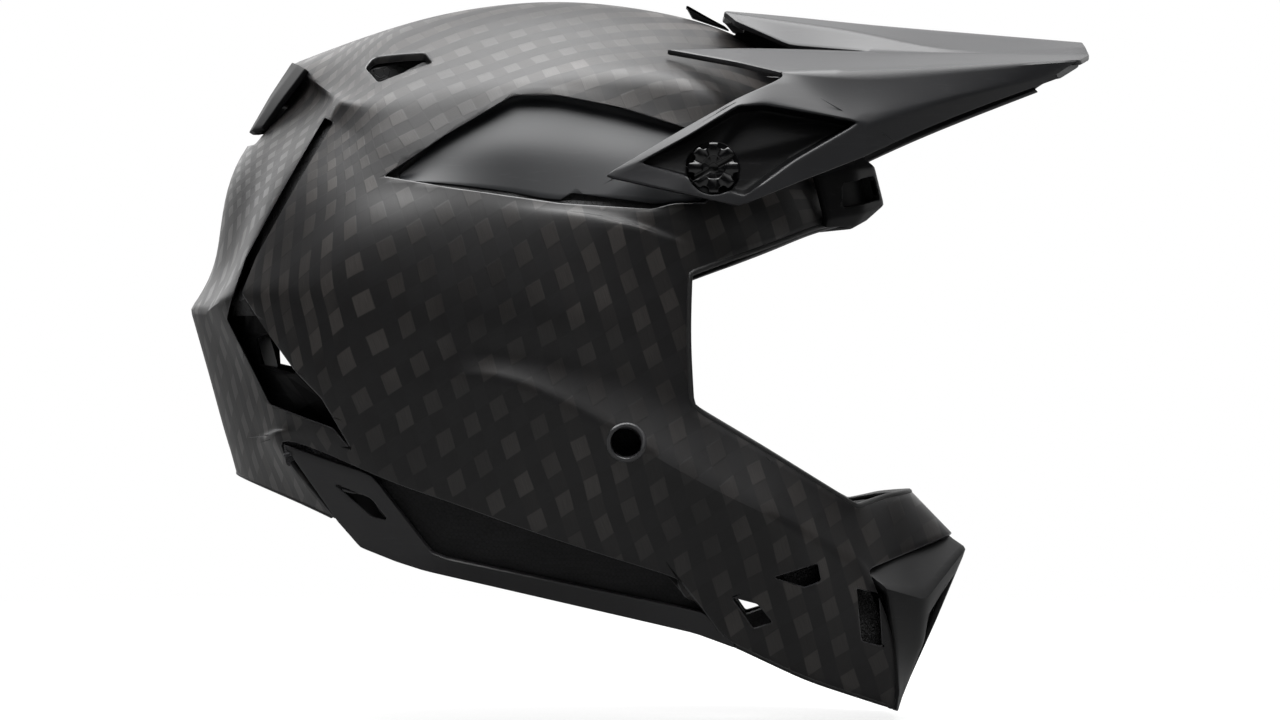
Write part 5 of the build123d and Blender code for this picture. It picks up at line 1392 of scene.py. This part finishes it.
# ---- straps
leftStrapPath = [(-0.66, 1.035, -0.36), (-0.66, 1.015, -0.62), (-0.63, 0.93, -0.88), (-0.52, 0.76, -1.07),
                 (-0.3, 0.58, -1.16), (-0.02, 0.4, -1.2), (0.2, 0.2, -1.22), (0.25, 0.05, -1.22)]
rightStrapPath = leftStrapPath[:5] + [
    (-0.02, 0.46, -1.19), (0.16, 0.38, -1.21), (0.16, 0.3, -1.215), (0.16, 0.268, -1.203), (0.16, 0.26, -1.175),
    (0.16, 0.268, -1.147), (0.16, 0.3, -1.135), (0.16, 0.38, -1.13)]
strap = {"half": 0.011, "thickness": 0.0018, "padLift": 0.0038, "padSink": 0.0015, "padWidth": 0.03,
         "padThickness": 0.0034, "padCorner": 0.12, "cord": 0.0006}
wide = Vector((1, 0, 0))


def ribbon(name, path, half, thickness, steps, side):
    # a flat band with thinned edges through the points
    path = [Vector((x, side * y, z)) * headUnit for x, y, z in path]
    line = [curveAt(path, n, k / steps) for n in range(len(path) - 1) for k in range(steps)] + [path[-1]]
    t = thickness / 2
    upper = [(-half + t * 0.6, t), (-half * 0.9, t * 0.92), (half * 0.9, t * 0.92), (half - t * 0.6, t)]
    lower = [(half - t * 0.6, -t), (half * 0.9, -t * 0.92), (-half * 0.9, -t * 0.92), (-half + t * 0.6, -t)]
    ways = [after - before for before, after in zip([line[0], *line], [*line[1:], line[-1]])]
    frames = [(here, wide, way.normalized().cross(wide).normalized()) for here, way in zip(line, ways)]
    return along(name, frames, [(-half, 0), *upper, (half, 0), *lower], closed=False)


for side, path, node, name in ((1, leftStrapPath, "chin_strap_left", "chinStrapLeft"),
                               (-1, rightStrapPath, "chin_strap_right", "chinStrapRight")):
    dress(ribbon(name, path, strap["half"], strap["thickness"], 10, side), webbing, node, 40)


def addStrapPad(name, path, side, node):
    line = [Vector((x, side * y, z)) * headUnit + Vector((0, 0, strap["padLift"])) for x, y, z in path]

    def surface(u, v, e=0.01):
        v = min(max(v, e), 1 - e)
        normal = wide.cross(alongCurve(line, v + e) - alongCurve(line, v - e)).normalized()
        normal = normal if normal.z > 0 else -normal
        return alongCurve(line, v) + wide * (u - 0.5) * strap["padWidth"] - normal * strap["padSink"], normal

    thickness, corner = strap["padThickness"], strap["padCorner"]
    parts = [quilt(surface, thickness, (18, 34), corner, [(0.33, 0.03), (0.67, 0.03)], 0.3),
             seamCord(surface, thickness, corner, strap["cord"])]
    addPad(name, parts, "helmet", node)


addStrapPad("strapPadLeft", leftStrapPath[4:7], 1, "strap_pad_left")
addStrapPad("strapPadRight", leftStrapPath[4:6], -1, "strap_pad_right")
ringShape = {"width": 0.0276, "depth": 0.017, "corner": 0.0034, "bar": 0.0016, "half": 0.0011, "shift": 0.0013,
             "top": (0.016, -0.03, -0.1175)}


def addRings():
    w, d = ringShape["width"] / 2, ringShape["depth"] / 2
    middle = Vector(ringShape["top"]) - Vector((0, 0, d))
    line = rounded([(-w, -d), (w, -d), (w, d), (-w, d)], ringShape["corner"], 8)
    section = blockSection(ringShape["bar"], ringShape["half"])
    made = []
    for shift in (-ringShape["shift"], ringShape["shift"]):
        frames = [(middle + Vector((here.x, shift, here.y)), Vector((way.y, 0, -way.x)), Vector((0, 1, 0)))
                  for here, way in zip(line, headings(line))]
        made.append(along("ring", frames, section))
    dress(joined("strapRings", made), steel, "strap_rings", 60, "rings")


addRings()
snap = {"foot": (0.024, 0.013, -0.12109),
        "profile": [(0.0, 0.0), (0.006, 0.0), (0.006, 0.0012), (0.0054, 0.0019), (0.0035, 0.0024), (0.002, 0.0021),
                    (0.0, 0.002)]}
dress(turned("strapSnap", snap["profile"], lambda a, b, h: Vector(snap["foot"]) + Vector((a, b, h)), 40),
      trimPlastic, "strap_snap", 40)

# a loop of webbing, folded at its lower end: the outer half of its path, from the top
tab = {"x": 0.12, "y": 0.846, "half": 0.008, "thickness": 0.0007,
       "path": [(0.0042, -1.092), (0.0042, -1.18), (0.007, -1.257), (0.008, -1.279)], "fold": -1.2884}


def addTab(name, side, node, body):
    x, y = tab["x"], tab["y"]
    path = [(x, y + off, z) for off, z in tab["path"]] + [(x, y, tab["fold"])]
    path += [(x, y - off, z) for off, z in tab["path"][::-1]]
    dress(ribbon(name, path, tab["half"], tab["thickness"], 6, side), tabCloth, node, 40, body)


addTab("releaseTabLeft", 1, "release_tab_left", "left_cheek_pad")
addTab("releaseTabRight", -1, "release_tab_right", "right_cheek_pad")

# ---- cloth between the shell and the skirt, tucked under the one and behind the other
fabricRows = [
    ("up", 0, [(-0.72, 1.035, -0.805), (-0.4, 1.1, -0.91), (0.025, 1.12, -1.06), (0.59, 1.06, -1.245),
        (0.78, 0.99, -1.49)]),
    ("down", 0, [(-0.62, 1, -1.045), (-0.36, 1.005, -1.255), (0.025, 1.005, -1.335), (0.5, 0.99, -1.44),
        (0.69, 0.98, -1.485)]),
]
fabric = {"sink": 0.0046, "thickness": 0.0008, "wrinkle": 0.0009, "size": (90, 18), "flat": (0.037, 0.156),
          "area": 0.0042}


def addFabric(name, side, node):
    rows = [[Vector((x, side * y, z)) * headUnit for x, y, z in row] for key, first, row in fabricRows]
    surface = patch(rows, -fabric["sink"], lambda normal: normal.y * side >= 0)
    nu, nv = fabric["size"]
    points = []
    for i in range(nu + 1):
        for j in range(nv + 1):
            u, v = i / nu, j / nv
            here, normal = surface(u, v)
            pull = math.sin(math.pi * v) * fabric["wrinkle"]
            fold = math.sin((u * 26 + v * 3 + 2 * roughly(here, 20, 5.0)) * 1.7) * 0.5 + 1.2 * roughly(here, 70, 2.0)
            points.append(here + normal * pull * fold)
    made = fromLists(name, points, gridFaces(nu + 1, nv + 1))
    applied(made, ("SOLIDIFY", {"thickness": fabric["thickness"], "offset": 0.0}))
    dress(made, skirtCloth, node, 60)


addFabric("skirtFabricLeft", 1, "skirt_fabric_left")
addFabric("skirtFabricRight", -1, "skirt_fabric_right")
print("soft parts ready")

# ---- the surfaces that stay as the solid model has them get their own materials
carried = {
    "outer_liner": linerFoam, "inner_liner": linerFoam, "cheek_foam_left": linerFoam, "cheek_foam_right": linerFoam,
    "chin_foam": linerFoam, "chin_side_mesh": filterFoam, "chin_front_mesh": filterFoam, "visor_tongue": trimPlastic,
    "visor_top_screw": steel, "visor_top_nut": steel, "visor_washers": beadRubber, "visor_screw_inserts": brass,
    "slip_bumpers": beadRubber, "cheek_magnets": steel, "strap_anchors": steel}
for node, material in carried.items():
    obj = bpy.data.objects[node]
    for place in obj.material_slots:
        place.material = material
    if not obj.material_slots:
        obj.data.materials.append(material)

print("scene done")
